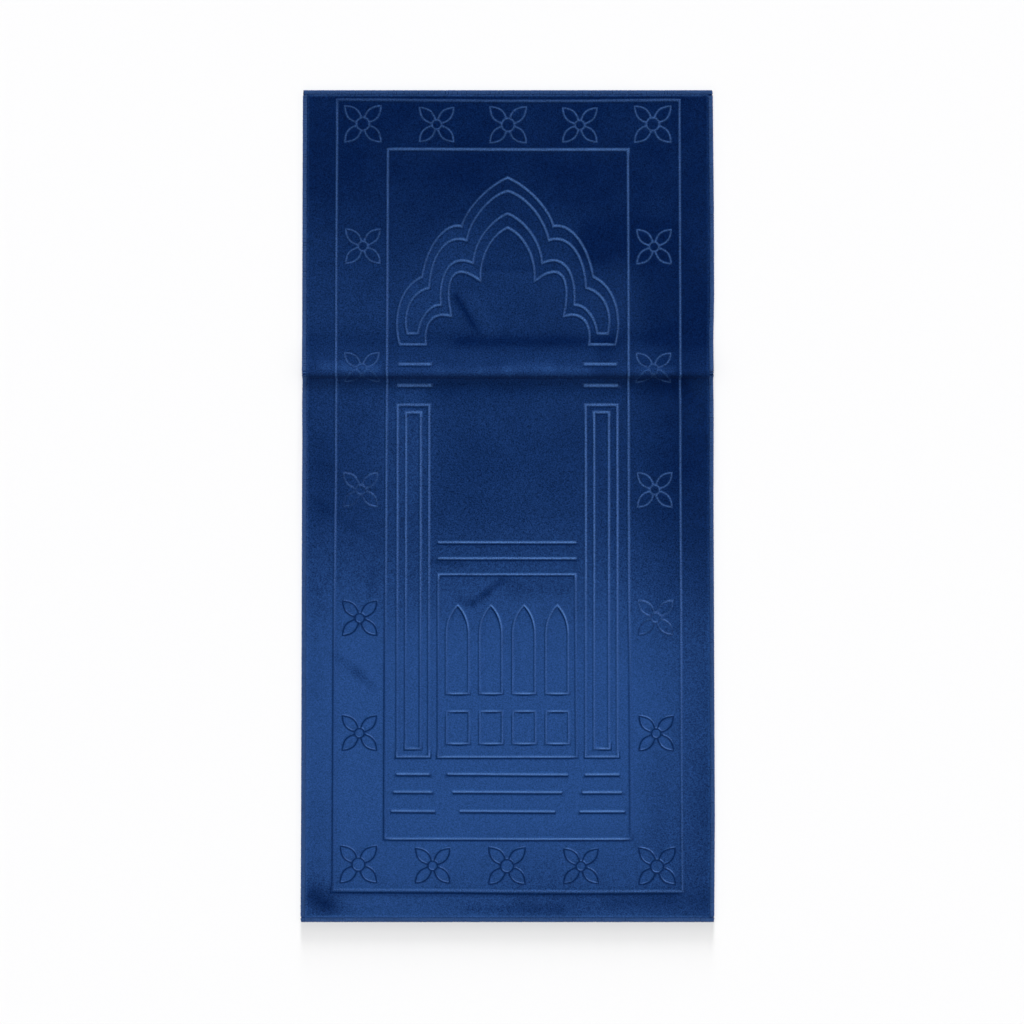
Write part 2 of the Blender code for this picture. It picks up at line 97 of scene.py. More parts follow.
# %% Walk along the fold
def fold_stations():
    """Places down the cloth, each (d, distance along the floor, height, slope in radians)."""
    stretches = records(FOLD_COLUMNS, FOLD_ROWS)
    slope, rise = 0.0, 0.0
    for stretch in stretches:
        stretch["before"] = slope
        slope = stretch["slope"]
        if stretch["length"] is not None:
            rise += climb(stretch["length"], stretch["before"], slope)
    stations = [(0.0, 0.0, 0.0, 0.0), (FOLD_START, FOLD_START, 0.0, 0.0)]
    for stretch in stretches:
        length = stretch["length"]
        if length is None:
            length = -rise / math.sin(math.radians(stretch["slope"]))
        step = length / stretch["steps"]
        bend = math.radians(stretch["slope"] - stretch["before"]) / stretch["steps"]
        chord = step if bend == 0.0 else step * math.sin(bend / 2.0) / (bend / 2.0)
        for _ in range(stretch["steps"]):
            d, along, height, slope = stations[-1]
            middle = slope + bend / 2.0
            along, height = along + chord * math.cos(middle), height + chord * math.sin(middle)
            stations.append((d + step, along, height, slope + bend))
    d, along, _, _ = stations[-1]
    stations.append((CUT_LENGTH, along + CUT_LENGTH - d, 0.0, 0.0))
    return np.array(stations)


STATIONS = fold_stations()
FOLD_END = STATIONS[-2][0]
FLOOR_LENGTH = STATIONS[-1][1]
print(f"the fold uses up {CUT_LENGTH - FLOOR_LENGTH:.1f} mm and stands {STATIONS[:, 2].max():.1f} mm high")

# %% [markdown]
# ## Laying flat cloth on that profile
#
# Everything on the rug is designed on flat cloth and then laid: `lay` carries a cloth point (x, d) and
# its height over the underside to its place in the world. The long edges of a real rug are never quite
# straight, so the same function lets the cloth near them stray by about a millimetre, and gathers the
# cloth by as much where the fold stands.

# %% From the cloth to the world
SIDE_COLUMNS = ("down", "left", "right")
SIDE_ROWS = (
    (0.0, 0.0, 0.0),
    (170.0, 0.2, 1.2),
    (300.0, 0.3, 1.4),
    (370.0, 0.2, 0.0),
    (450.0, 0.3, 0.4),
    (520.0, -0.3, 0.2),
    (600.0, 0.0, -0.2),
    (800.0, 0.0, 0.2),
    (1070.0, 0.2, 0.7),
    (CUT_LENGTH, 0.6, -0.5),
)
SIDE_REACH = 45.0
GATHER_MIDDLE, GATHER_REACH, GATHER = 420.0, 32.0, 0.004
SIDES = records(SIDE_COLUMNS, SIDE_ROWS)
MIDDLE_X = (max(r["right"] for r in SIDES) - max(r["left"] for r in SIDES)) / 2.0


def sway(x, d):
    """How far points stray sideways, most at the long edges."""
    down = [r["down"] for r in SIDES]
    left = np.interp(d, down, [r["left"] for r in SIDES])
    right = np.interp(d, down, [r["right"] for r in SIDES])
    near = np.clip(1.0 - (HALF - np.abs(x)) / SIDE_REACH, 0.0, None)
    gather = GATHER * np.exp(-(((d - GATHER_MIDDLE) / GATHER_REACH) ** 2))
    return np.where(x < 0.0, -left, right) * near - gather * x


def lay(x, d, height):
    """World points, in metres, of cloth points that stand this high over the cloth's underside."""
    along, lift, slope = (np.interp(d, STATIONS[:, 0], STATIONS[:, k]) for k in (1, 2, 3))
    over = height - THICK / 2.0
    return MM * np.stack(
        [
            x + sway(x, d) - MIDDLE_X,
            FLOOR_LENGTH / 2.0 - along + over * np.sin(slope),
            THICK / 2.0 + lift + over * np.cos(slope),
        ],
        axis=-1,
    )


solid_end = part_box("rug_panel")[1].y
cloth_end = lay(np.array([HALF]), np.array([0.0]), np.array([0.0]))[0, 1]
print(f"the cloth ends {(cloth_end - solid_end) / MM:.1f} mm outside the solid, under the thread")

# %% [markdown]
# ## The pressed pattern
#
# The pattern is a traditional one: a scalloped arch on two pillars, a panel of pointed windows over
# squares, bars across, and a border of four-petal flowers between two frames. It could be a picture
# pressed in as a displacement map, but lines keep their edges at any size and leave no steps. So each
# line is drawn once, as a run of points on the flat cloth, and the relief is worked out from them. Cloth
# gives a little under the plate, so the two frames are runs of points that bow by a millimetre or two.
# The plate cuts some lines finer than others, so each kind of line has a size, which scales its width
# and height together. How much painted light its standing pile gets depends on whether it runs across
# the rug or along it, and on whether it is near the arch or near the foot, so those are four more columns.

# %% The kinds of line
KIND_COLUMNS = ("name", "size", "across_top", "across_foot", "along_top", "along_foot")
KIND_ROWS = (
    ("outer frame", 0.95, 0.25, 0.26, 0.42, 0.1),
    ("inner frame", 1.0, 0.48, 0.85, 0.44, 0.0),
    ("panel", 0.95, 0.62, 0.88, 0.34, 0.08),
    ("arch", 0.88, 0.52, 0.68, 0.31, 0.26),
    ("bar", 1.1, 0.58, 0.88, 0.5, 0.26),
    ("pillar", 0.95, 0.5, 0.84, 0.56, 0.2),
    ("window", 0.85, 0.6, 1.12, 0.42, 0.26),
    ("flower", 0.6, 0.35, 0.6, 0.35, 0.34),
)
KINDS = {row["name"]: dict(row, number=k) for k, row in enumerate(records(KIND_COLUMNS, KIND_ROWS))}
pattern = []

# %% Drawing helpers
CURVE_STEP, STRAIGHT_STEP = 3.0, 11.0
ROUNDNESS = 0.55


def heading(degrees):
    """The unit step on a heading: 0 runs to the right, and 90 down the rug."""
    turn = math.radians(degrees)
    return Vector((math.cos(turn), math.sin(turn)))


def curve(start, end, leaving, arriving, roundness=ROUNDNESS):
    """Points after start, up to end, on a round curve that leaves and arrives on these headings."""
    start, end = Vector(start), Vector(end)
    out, back = heading(leaving), heading(arriving)
    meeting = start + out * ((end - start).cross(back) / out.cross(back))
    steps = max(4, math.ceil((end - start).length / CURVE_STEP))
    points = geometry.interpolate_bezier(
        start, start.lerp(meeting, roundness), end.lerp(meeting, roundness), end, steps + 1
    )
    return [(p.x, p.y) for p in points[1:]]


def spaced(line):
    """The line with points added, so that no straight stretch is longer than a step."""
    points = [line[0]]
    for start, end in zip(line, line[1:]):
        count = max(1, math.ceil(math.dist(start, end) / STRAIGHT_STEP))
        for k in range(1, count):
            points.append(tuple(a + (b - a) * k / count for a, b in zip(start, end)))
        points.append(end)
    return points


def closed(points):
    """A run of points that returns to its first point."""
    return points + [points[0]]


def box(left, right, top, bottom):
    """A rectangle."""
    return closed([(left, top), (right, top), (right, bottom), (left, bottom)])


# %% The two frames and the panel
FRAME_KINDS = ("outer frame", "inner frame", "panel")
FRAME_ROWS = (
    (
        (-249.4, 14.7), (-110.0, 16.0), (0.0, 16.9), (90.0, 17.0), (180.0, 16.1), (250.9, 15.4),
        (251.5, 300.0), (251.3, 566.0), (251.8, 741.0), (253.5, 1177.1),
        (100.0, 1177.7), (0.0, 1177.1), (-75.0, 1176.1), (-252.7, 1175.2),
        (-251.5, 741.0), (-250.1, 566.0), (-250.3, 300.0),
    ),
    (
        (-175.2, 87.5), (-75.0, 87.8), (42.0, 88.4), (175.4, 88.2),
        (176.1, 290.0), (176.0, 566.0), (176.4, 741.0), (178.0, 850.0), (179.2, 1101.1),
        (20.0, 1101.1), (-60.0, 1100.8), (-178.1, 1100.6),
    ),
    ((-100.8, 717.6), (98.8, 717.6), (100.3, 982.3), (-100.4, 982.3)),
)

for kind, corners in zip(FRAME_KINDS, FRAME_ROWS):
    pattern.append((kind, closed(list(corners))))
print(len(pattern), "frames")

# %% The scalloped arch
# Each row is one scallop of the arch's right half, from the point before it to its own end, with the
# headings it leaves and arrives on, in degrees from straight across towards straight down.
ARCH_MIDDLE = -0.4
ARCH_APEX = {"outer": 129.4, "outer inset": 148.8, "inner inset": 182.0, "inner": 202.8}
ARCH_COLUMNS = ("line", "x", "down", "leaving", "arriving")
ARCH_ROWS = (
    ("outer", 66.8, 200.7, 24.0, 76.0),
    ("outer", 124.7, 274.7, -14.0, 81.0),
    ("outer", 156.9, 374.3, 22.0, 106.0),
    ("outer inset", 60.0, 221.1, 16.0, 79.0),
    ("outer inset", 114.4, 290.6, -20.0, 88.0),
    ("outer inset", 145.9, 357.5, 12.0, 105.0),
    ("inner inset", 50.2, 254.8, 22.0, 88.0),
    ("inner inset", 97.2, 315.6, -27.0, 95.0),
    ("inner inset", 130.9, 357.5, -4.0, 83.0),
    ("inner", 39.3, 281.1, 22.0, 95.0),
    ("inner", 81.5, 332.5, -40.0, 103.0),
    ("inner", 118.8, 374.3, -20.0, 99.0),
)


def arch_side(line):
    """The right half of one line of the arch, from its apex to its foot."""
    points = [(0.0, ARCH_APEX[line])]
    for row in records(ARCH_COLUMNS, ARCH_ROWS):
        if row["line"] == line:
            points += curve(points[-1], (row["x"], row["down"]), row["leaving"], row["arriving"])
    return points


for over, under in (("outer", "inner"), ("outer inset", "inner inset")):
    right = arch_side(over) + arch_side(under)[::-1]
    left = [(-x, d) for x, d in right[-2:0:-1]]
    pattern.append(("arch", closed([(x + ARCH_MIDDLE, d) for x, d in right + left])))
print("the arch has", sum(len(line) for kind, line in pattern if kind == "arch"), "points")

# %% Pillars, windows, squares and bars
PILLAR_COLUMNS = ("inside", "outside", "top", "bottom")
PILLAR_ROWS = ((114.0, 160.0, 471.4, 982.0), (126.3, 147.6, 482.3, 970.3))
PILLARS_MIDDLE = -0.4
WINDOW_PITCH, WINDOW_COUNT, WINDOW_HALF_WIDTH = 48.2, 4, 16.2
WINDOWS_MIDDLE = -0.4
WINDOW_APEX, WINDOW_SPRING, WINDOW_SILL = 762.3, 806.0, 890.6
WINDOW_TIP, WINDOW_ROUNDNESS = 46.0, 0.66
SQUARE_HALF_WIDTH, SQUARE_TOP, SQUARE_BOTTOM = 16.4, 916.2, 963.1
BAR_COLUMNS = ("left", "left_down", "right", "right_down")
BAR_ROWS = (
    (-158.0, 405.7, -113.4, 405.7),
    (112.3, 405.6, 157.1, 405.6),
    (-160.3, 442.9, -112.7, 442.9),
    (112.4, 443.0, 159.6, 443.0),
    (-100.6, 671.0, 99.0, 671.2),
    (-100.6, 694.3, 99.0, 694.3),
    (-160.7, 1007.0, -114.6, 1007.2),
    (-86.9, 1006.9, 86.3, 1007.9),
    (112.8, 1007.8, 161.0, 1007.6),
    (-164.8, 1032.7, -111.0, 1033.0),
    (-79.4, 1032.8, 77.8, 1033.4),
    (108.9, 1033.5, 164.6, 1033.4),
    (-168.2, 1060.3, -106.2, 1060.8),
    (-69.1, 1060.4, 67.8, 1061.3),
    (105.1, 1061.2, 168.6, 1061.0),
)

for row in records(PILLAR_COLUMNS, PILLAR_ROWS):
    for side in (-1, 1):
        near, far = sorted(PILLARS_MIDDLE + side * row[edge] for edge in ("inside", "outside"))
        pattern.append(("pillar", box(near, far, row["top"], row["bottom"])))


def window(middle):
    """A pointed window: two straight sides and a lancet head."""
    left, right = middle - WINDOW_HALF_WIDTH, middle + WINDOW_HALF_WIDTH
    apex = (middle, WINDOW_APEX)
    points = [(left, WINDOW_SILL), (left, WINDOW_SPRING)]
    points += curve((left, WINDOW_SPRING), apex, -90.0, -90.0 + WINDOW_TIP, WINDOW_ROUNDNESS)
    points += curve(apex, (right, WINDOW_SPRING), 90.0 - WINDOW_TIP, 90.0, WINDOW_ROUNDNESS)
    return closed(points + [(right, WINDOW_SILL)])


for number in range(WINDOW_COUNT):
    middle = (number - (WINDOW_COUNT - 1) / 2.0) * WINDOW_PITCH
    left, right = middle - SQUARE_HALF_WIDTH, middle + SQUARE_HALF_WIDTH
    pattern.append(("window", window(middle + WINDOWS_MIDDLE)))
    pattern.append(("window", box(left, right, SQUARE_TOP, SQUARE_BOTTOM)))

for row in records(BAR_COLUMNS, BAR_ROWS):
    pattern.append(("bar", [(row["left"], row["left_down"]), (row["right"], row["right_down"])]))
print(len(pattern), "lines so far")

# %% The flowers of the border
LARGE_FLOWER, SMALL_FLOWER = "large", "small"
FLOWER_SIZES = {LARGE_FLOWER: (26.5, 9.4), SMALL_FLOWER: (25.0, 6.9)}
FLOWER_COLUMNS = ("x", "down", "size")
FLOWER_ROWS = (
    (-211.9, 50.1, LARGE_FLOWER),
    (-104.1, 51.2, SMALL_FLOWER),
    (0.3, 51.6, LARGE_FLOWER),
    (105.1, 51.8, SMALL_FLOWER),
    (211.8, 50.6, LARGE_FLOWER),
    (-211.5, 229.4, SMALL_FLOWER),
    (213.4, 230.3, SMALL_FLOWER),
    (-212.7, 411.8, SMALL_FLOWER),
    (212.3, 412.6, SMALL_FLOWER),
    (-214.3, 595.3, SMALL_FLOWER),
    (213.8, 595.1, SMALL_FLOWER),
    (-215.1, 781.6, SMALL_FLOWER),
    (214.9, 781.3, SMALL_FLOWER),
    (-215.3, 948.2, SMALL_FLOWER),
    (215.5, 948.9, SMALL_FLOWER),
    (-216.5, 1138.3, LARGE_FLOWER),
    (-108.8, 1140.1, SMALL_FLOWER),
    (-1.1, 1140.5, LARGE_FLOWER),
    (106.1, 1140.9, SMALL_FLOWER),
    (216.5, 1141.0, LARGE_FLOWER),
)
PETAL_ROOT, PETAL_LEAVES, PETAL_ARRIVES, PETAL_ROUNDNESS = 75.0, 74.0, 5.0, 0.76
RING_STEPS = 24


def flower(x, d, size):
    """Four pointed petals set crosswise round a ring: (the ring, the four petals)."""
    reach, ring = FLOWER_SIZES[size]
    turns = [math.tau * step / RING_STEPS for step in range(RING_STEPS)]
    root = tuple(ring * heading(PETAL_ROOT))
    side = [root] + curve(root, (reach, reach), PETAL_LEAVES, PETAL_ARRIVES, PETAL_ROUNDNESS)
    outline = side + [(b, a) for a, b in side[-2::-1]]
    petals = [
        [(x + across * a, d + down * b) for a, b in outline] for across in (-1, 1) for down in (-1, 1)
    ]
    return closed([(x + ring * math.cos(t), d + ring * math.sin(t)) for t in turns]), petals


flowers = [flower(row["x"], row["down"], row["size"]) for row in records(FLOWER_COLUMNS, FLOWER_ROWS)]
for ring, petals in flowers:
    pattern += [("flower", line) for line in [ring, *petals]]
pattern = [(kind, spaced(line)) for kind, line in pattern]
print(len(pattern), "lines in all, and", len(flowers), "flowers")

# %% [markdown]
# ## How far is the nearest line?
#
# The relief, the tone of the pile and even the mesh itself depend on one number for each point of the
# cloth: its distance to the nearest line, counted in line sizes so that fine lines are narrower. A k-d
# tree of marks along the lines finds the right stretch fast, and the exact distance to that stretch
# follows from a little geometry.

# %% The distance finder
MARK_STEP = 1.0
NEIGHBOURS = 4


class LineFinder:
    """Finds the nearest line of the pattern, counting each distance in that line's size."""

    def __init__(self, lines):
        pieces = [
            (*start, *end, KINDS[kind]["size"], KINDS[kind]["number"])
            for kind, line in lines
            for start, end in zip(line, line[1:])
        ]
        self.pieces = np.array(pieces)
        marks = []
        for number, (x0, d0, x1, d1, _, _) in enumerate(pieces):
            count = max(1, math.ceil(math.dist((x0, d0), (x1, d1)) / MARK_STEP))
            for k in range(count):
                share = (k + 0.5) / count
                marks.append((x0 + (x1 - x0) * share, d0 + (d1 - d0) * share, number))
        self.tree = kdtree.KDTree(len(marks))
        self.owner = np.array([number for _, _, number in marks])
        for index, (x, d, _) in enumerate(marks):
            self.tree.insert((x, d, 0.0), index)
        self.tree.balance()

    def find(self, points):
        """For each point: (distance in line sizes, number of the line's kind, unit way from the line,
        unit run of the line)."""
        points = np.asarray(points, dtype=float)
        near = np.array(
            [[index for _, index, _ in self.tree.find_n((x, d, 0.0), NEIGHBOURS)] for x, d in points]
        )
        pieces = self.pieces[self.owner[near]]
        start, run = pieces[..., :2], pieces[..., 2:4] - pieces[..., :2]
        away = points[:, None] - start
        share = np.clip((away * run).sum(-1) / (run * run).sum(-1), 0.0, 1.0)
        away = away - share[..., None] * run
        distance = np.linalg.norm(away, axis=-1)
        sized = distance / pieces[..., 4]
        best = sized.argmin(axis=1)
        rows = np.arange(len(points))
        way = away[rows, best] / np.maximum(distance[rows, best], 1e-6)[:, None]
        run = run[rows, best] / np.linalg.norm(run[rows, best], axis=1)[:, None]
        return sized[rows, best], pieces[rows, best, 5].astype(int), way, run


finder = LineFinder(pattern)
print(len(finder.pieces), "straight pieces,", len(finder.owner), "marks")

# %% [markdown]
# ## A net that follows the lines
#
# A plain grid fine enough for lines 3 mm wide would need a million faces. Instead the net is dense
# only beside the lines: each line gets parallel rows of points, and open cloth gets a loose, staggered
# grid. A constrained Delaunay triangulation joins them all and keeps the rows as edges. The fold gets
# cross lines at its stations, so that the cloth can bend there.

# %% Points and edges of the flat net
ROW_OFFSETS = (0.8, 1.6, 2.4, 3.3, 4.4, 6.0)
ROW_CLEARANCE = 0.97
MITRE_LIMIT = 0.4
GRID_STEP, FOLD_CROSS_STEP = 6.2, 6.0
LINE_CLEAR, EDGE_WIDTH = 7.0, 7.0
SAME_POINT = 0.005

RIM_COLUMNS = ("inset", "top", "bottom")
RIM_ROWS = (
    (1.1, 3.75, 1.05),
    (3.2, 3.8, 1.0),
    (5.6, 3.7, 1.0),
    (6.3, 3.2, 0.9),
    (6.8, 3.9, 0.2),
    (7.6, 4.5, 0.0),
    (8.9, 4.75, 0.0),
    (10.8, 4.5, 0.0),
    (13.5, THICK, 0.0),
)
RIM = records(RIM_COLUMNS, RIM_ROWS)


class FlatNet:
    """Points on the flat cloth and the edges that must join them."""

    def __init__(self):
        self.points, self.index, self.edges = [], {}, set()

    def point(self, spot):
        """The number of this point, which joins the net if it is new."""
        name = (round(spot[0], 2), round(spot[1], 2))
        if name not in self.index:
            self.index[name] = len(self.points)
            self.points.append(spot)
        return self.index[name]

    def run(self, line):
        """Adds a run of points and the edges between them."""
        numbers = [self.point(spot) for spot in line]
        self.edges |= {(min(a, b), max(a, b)) for a, b in zip(numbers, numbers[1:]) if a != b}

    def triangles(self):
        """The finished net: an array of points, and faces that turn from x towards d."""
        points, _, faces, *_ = geometry.delaunay_2d_cdt(
            [Vector(p) for p in self.points], sorted(self.edges), [], 0, SAME_POINT, False
        )
        return np.array([(p.x, p.y) for p in points]), [tuple(face) for face in faces]


# %% The rim's loops and the fold's cross lines, which both faces share
def rim_net():
    """The rim and the fold, as a net of its own."""
    net = FlatNet()
    stops = {float(d) for d in STATIONS[1:-1, 0]} | {r["down"] for r in SIDES[1:-1]}
    for row in RIM:
        inset = row["inset"]
        left, right, top, bottom = inset - HALF, HALF - inset, inset, CUT_LENGTH - inset
        down = sorted(stops | {top, bottom})
        side_left = spaced([(left, d) for d in down])
        side_right = spaced([(right, d) for d in down])
        net.run(side_left)
        net.run(side_right)
        net.run(spaced([side_left[0], side_right[0]]))
        net.run(spaced([side_left[-1], side_right[-1]]))
    reach = HALF - RIM[0]["inset"]
    count = round(2.0 * reach / FOLD_CROSS_STEP)
    for d in STATIONS[1:-1, 0]:
        net.run([(-reach + 2.0 * reach * k / count, float(d)) for k in range(count + 1)])
    return net


def row_beside(line, offset):
    """The line's parallel row at this signed offset, mitred at the corners."""
    whole = line[0] == line[-1]
    spots = [Vector(p) for p in line]
    result = []
    for k, spot in enumerate(spots):
        before = spots[k - 1] if k else (spots[-2] if whole else None)
        after = spots[k + 1] if k + 1 < len(spots) else (spots[1] if whole else None)
        ways = [(b - a).normalized() for a, b in ((before, spot), (spot, after)) if a and b]
        way = (ways[0] + ways[-1]).normalized()
        reach = offset / max(MITRE_LIMIT, way.dot(ways[0]))
        result.append((spot.x - way.y * reach, spot.y + way.x * reach))
    return result


# %% Build the flat net of the pressed face
net = rim_net()
for kind, line in pattern:
    size = KINDS[kind]["size"]
    net.run(line)
    for offset in ROW_OFFSETS:
        for side in (-1, 1):
            row = row_beside(line, side * offset * size)
            kept = finder.find(row)[0] > offset * ROW_CLEARANCE
            for k, spot in enumerate(row):
                if kept[k] and k and kept[k - 1]:
                    net.run([row[k - 1], spot])
                elif kept[k]:
                    net.point(spot)
    if line[0] != line[-1]:
        for spot, inward in ((line[0], line[1]), (line[-1], line[-2])):
            way = (Vector(spot) - Vector(inward)).normalized()
            for offset in ROW_OFFSETS:
                tip = Vector(spot) + offset * size * way
                if finder.find([tip[:]])[0][0] > offset * ROW_CLEARANCE:
                    net.point((tip.x, tip.y))

inner = RIM[-1]["inset"] + GRID_STEP / 2.0
grid = []
for row, d in enumerate(np.arange(inner, CUT_LENGTH - inner, GRID_STEP * math.sqrt(0.75))):
    shift = GRID_STEP / 2.0 * (row % 2)
    if FOLD_START - GRID_STEP / 3.0 < d < FOLD_END + GRID_STEP / 3.0:
        continue
    grid += [(float(x), float(d)) for x in np.arange(inner - HALF + shift, HALF - inner, GRID_STEP)]
away = finder.find(grid)[0]
for spot, clear in zip(grid, away > LINE_CLEAR):
    if clear:
        net.point(spot)

flat, faces = net.triangles()
print(len(flat), "points and", len(faces), "triangles in the pressed face")

# %% [markdown]
# ## Pile marks, soft creases, and painted light and shade
#
# Plush shows every hand that brushed it, because pile that leans away from the light looks darker.
# These marks can't come from a noise texture, since they are single strokes in known places. Each is
# a row of a table: where it starts and ends, how wide it is, how much darker or lighter it leaves the
# pile, and how deep it dents it. The rows that run across the fold are painted light and shade: painted
# shade at the foot of its rise and below its crest, and painted highlights near its crest. The broad
# change from dark navy at the arch to royal blue at the foot is painted shading.

# %% The pile marks, and the fold's painted light and shade
MARK_AND_FOLD_LIGHT_COLUMNS = ("x0", "d0", "x1", "d1", "width", "tone", "dent")
MARK_AND_FOLD_LIGHT_ROWS = (
    (-76.0, 303.0, -52.0, 342.0, 5.0, -0.3, 0.6),
    (-52.0, 342.0, -44.0, 354.0, 4.0, -0.15, 0.3),
    (-50.0, 306.0, -22.0, 352.0, 11.0, 0.09, 0.0),
    (-31.0, 262.0, 35.0, 262.0, 4.5, -0.1, 0.4),
    (-40.0, 271.0, 42.0, 271.0, 7.0, 0.05, 0.0),
    (-270.0, 531.0, -270.0, 631.0, 17.0, -0.08, 0.3),
    (-278.0, 614.0, -195.0, 669.0, 6.0, -0.1, 0.4),
    (-198.0, 713.0, -198.0, 748.0, 8.0, -0.16, 0.4),
    (-249.0, 838.0, -213.0, 866.0, 8.0, -0.22, 0.5),
    (-222.0, 858.0, -194.0, 883.0, 7.0, -0.26, 0.5),
    (-7.0, 726.0, -32.0, 746.0, 4.5, -0.42, 0.5),
    (-32.0, 746.0, -52.0, 761.0, 5.0, -0.38, 0.5),
    (-52.0, 761.0, -70.0, 755.0, 5.0, -0.28, 0.4),
    (10.0, 738.0, 77.0, 738.0, 15.0, -0.18, 0.3),
    (-110.0, 701.0, -66.0, 703.0, 4.5, -0.22, 0.2),
    (-280.0, 1186.0, -264.0, 1196.0, 19.0, -0.42, 0.4),
    (-262.0, 1200.0, -238.0, 1204.0, 10.0, -0.16, 0.3),
    (-55.0, 1203.0, 77.0, 1203.0, 6.0, -0.2, 0.3),
    (212.0, 1012.0, 212.0, 1110.0, 28.0, -0.12, 0.3),
    (283.0, 985.0, 283.0, 1075.0, 18.0, -0.12, 0.0),
    (150.0, 1193.0, 238.0, 1190.0, 11.0, -0.16, 0.4),
    (130.0, 226.0, 225.0, 226.0, 36.0, -0.17, 0.0),
    # Painted shade at the foot of the fold's rise.
    (-70.0, 371.0, 150.0, 371.0, 12.0, -0.16, 0.0),
    (139.0, 245.0, 139.0, 280.0, 24.0, -0.1, 0.0),
    (205.0, 262.0, 215.0, 345.0, 30.0, -0.07, 0.0),
    (139.0, 390.0, 139.0, 414.0, 16.0, -0.11, 0.0),
    (-165.0, 485.0, -165.0, 600.0, 42.0, 0.12, 0.0),
    (-138.0, 470.0, -138.0, 600.0, 26.0, 0.11, 0.0),
    (118.0, 238.0, 132.0, 238.0, 24.0, -0.1, 0.0),
    (275.0, 290.0, 275.0, 345.0, 26.0, -0.07, 0.0),
    (-277.0, 860.0, -277.0, 1080.0, 24.0, -0.08, 0.0),
    (-280.0, 750.0, -280.0, 880.0, 24.0, -0.1, 0.0),
    (-280.0, 1060.0, -280.0, 1190.0, 26.0, -0.14, 0.0),
    (-285.0, 1180.0, -262.0, 1190.0, 18.0, -0.16, 0.0),
    (20.0, 1188.0, 290.0, 1188.0, 15.0, -0.1, 0.0),
    (110.0, 1190.0, 170.0, 1190.0, 18.0, -0.06, 0.0),
    (-150.0, 1190.0, -60.0, 1190.0, 14.0, -0.06, 0.0),
    (-160.0, 905.0, 215.0, 915.0, 45.0, 0.08, 0.0),
    # From here on, the rows paint the fold's light and shade: painted shade at the foot of its rise and
    # below its crest, and painted highlights on its rise and near its crest.
    (-235.0, 436.0, 250.0, 436.0, 9.0, -0.08, 0.0),
    (-110.0, 448.0, 250.0, 448.0, 13.0, -0.09, 0.0),
    (287.0, 425.0, 287.0, 450.0, 16.0, 0.08, 0.0),
    (19.0, 402.0, 55.0, 402.0, 7.0, 0.08, 0.0),
    (-268.0, 408.0, -240.0, 409.0, 8.0, 0.32, 0.0),
    (-232.0, 412.0, -192.0, 412.0, 7.0, 0.34, 0.0),
    (-165.0, 411.0, -100.0, 413.0, 7.0, 0.12, 0.0),
    (-100.0, 415.0, -40.0, 416.0, 6.0, 0.14, 0.0),
    (-40.0, 415.0, 0.0, 414.0, 6.0, 0.2, 0.0),
    (0.0, 413.0, 60.0, 412.0, 7.0, 0.26, 0.0),
    (60.0, 413.0, 115.0, 413.0, 6.0, 0.24, 0.0),
    (190.0, 414.0, 238.0, 414.0, 5.0, 0.24, 0.0),
    (-300.0, 367.0, 300.0, 364.0, 15.0, -0.12, 0.0),
)


def mark_and_fold_light_shares(points):
    """The pile marks' tone and dent at each point, with the fold's painted light and shade in the tone."""
    tone, dent = np.zeros(len(points)), np.zeros(len(points))
    for stroke in records(MARK_AND_FOLD_LIGHT_COLUMNS, MARK_AND_FOLD_LIGHT_ROWS):
        start = np.array([stroke["x0"], stroke["d0"]])
        run = np.array([stroke["x1"], stroke["d1"]]) - start
        share = np.clip((points - start) @ run / (run @ run), 0.0, 1.0)
        away = np.linalg.norm(points - start - share[:, None] * run, axis=1)
        weight = np.exp(-((away / stroke["width"]) ** 2))
        tone += stroke["tone"] * weight
        dent += stroke["dent"] * weight
    return tone, dent


# %% The broad painted shading of the pile
# The pile is painted darkest at the arch, lighter in two climbs down the rug and less so on the right, and
# a little darker again at the foot.
DARKEST = 0.03
RIGHT_SIDE, RIGHT_RIM = (140.0, 265.0), (235.0, 300.0)
UPPER_PAINTED_LIGHT, UPPER_CLIMB, UPPER_LOSS = 0.27, (110.0, 320.0), 0.85
LOWER_PAINTED_LIGHT, LOWER_CLIMB, LOWER_LOSS, LOWER_RIM_LOSS = 0.72, (590.0, 880.0), 0.12, 0.2
FOOT_FALL, FOOT_CLIMB = 0.2, (1040.0, 1215.0)
EXTRA_FALL, EXTRA_MIDDLE, EXTRA_HALF = 0.25, 60.0, 110.0
PATCH_SIZES, PATCH_TONES, PATCH_SEED = (95.0, 34.0), (0.07, 0.05), 3.0
NAP_MOST = 1.3


def soft_step(value, low, high):
    """0 below low, 1 above high, and a smooth climb between them."""
    t = np.clip((value - low) / (high - low), 0.0, 1.0)
    return t * t * (3.0 - 2.0 * t)


def bump_at(value, middle, half):
    """A smooth bump, 1 at the middle and 0.37 at this half-width from it."""
    return np.exp(-(((value - middle) / half) ** 2))


def painted_shading(x, d):
    """Painted shading over the rug: 0 is the dark navy, and 1 the royal blue."""
    right, rim = soft_step(x, *RIGHT_SIDE), soft_step(x, *RIGHT_RIM)
    upper = UPPER_PAINTED_LIGHT * soft_step(d, *UPPER_CLIMB) * (1.0 - UPPER_LOSS * right)
    lower = LOWER_PAINTED_LIGHT * soft_step(d, *LOWER_CLIMB) * (1.0 - LOWER_LOSS * right - LOWER_RIM_LOSS * rim)
    fall = FOOT_FALL + EXTRA_FALL * bump_at(x, EXTRA_MIDDLE, EXTRA_HALF)
    return DARKEST + upper + lower - fall * soft_step(d, *FOOT_CLIMB)


def patches(points, size, seed):
    """Slow, even-handed noise from -1 to 1, with patches of about this size."""
    return np.array([noise.noise(Vector((x / size, d / size, seed))) for x, d in points])


x, d = flat[:, 0], flat[:, 1]
tone, dent = mark_and_fold_light_shares(flat)
slow, quick = (patches(flat, size, PATCH_SEED + k) for k, size in enumerate(PATCH_SIZES))
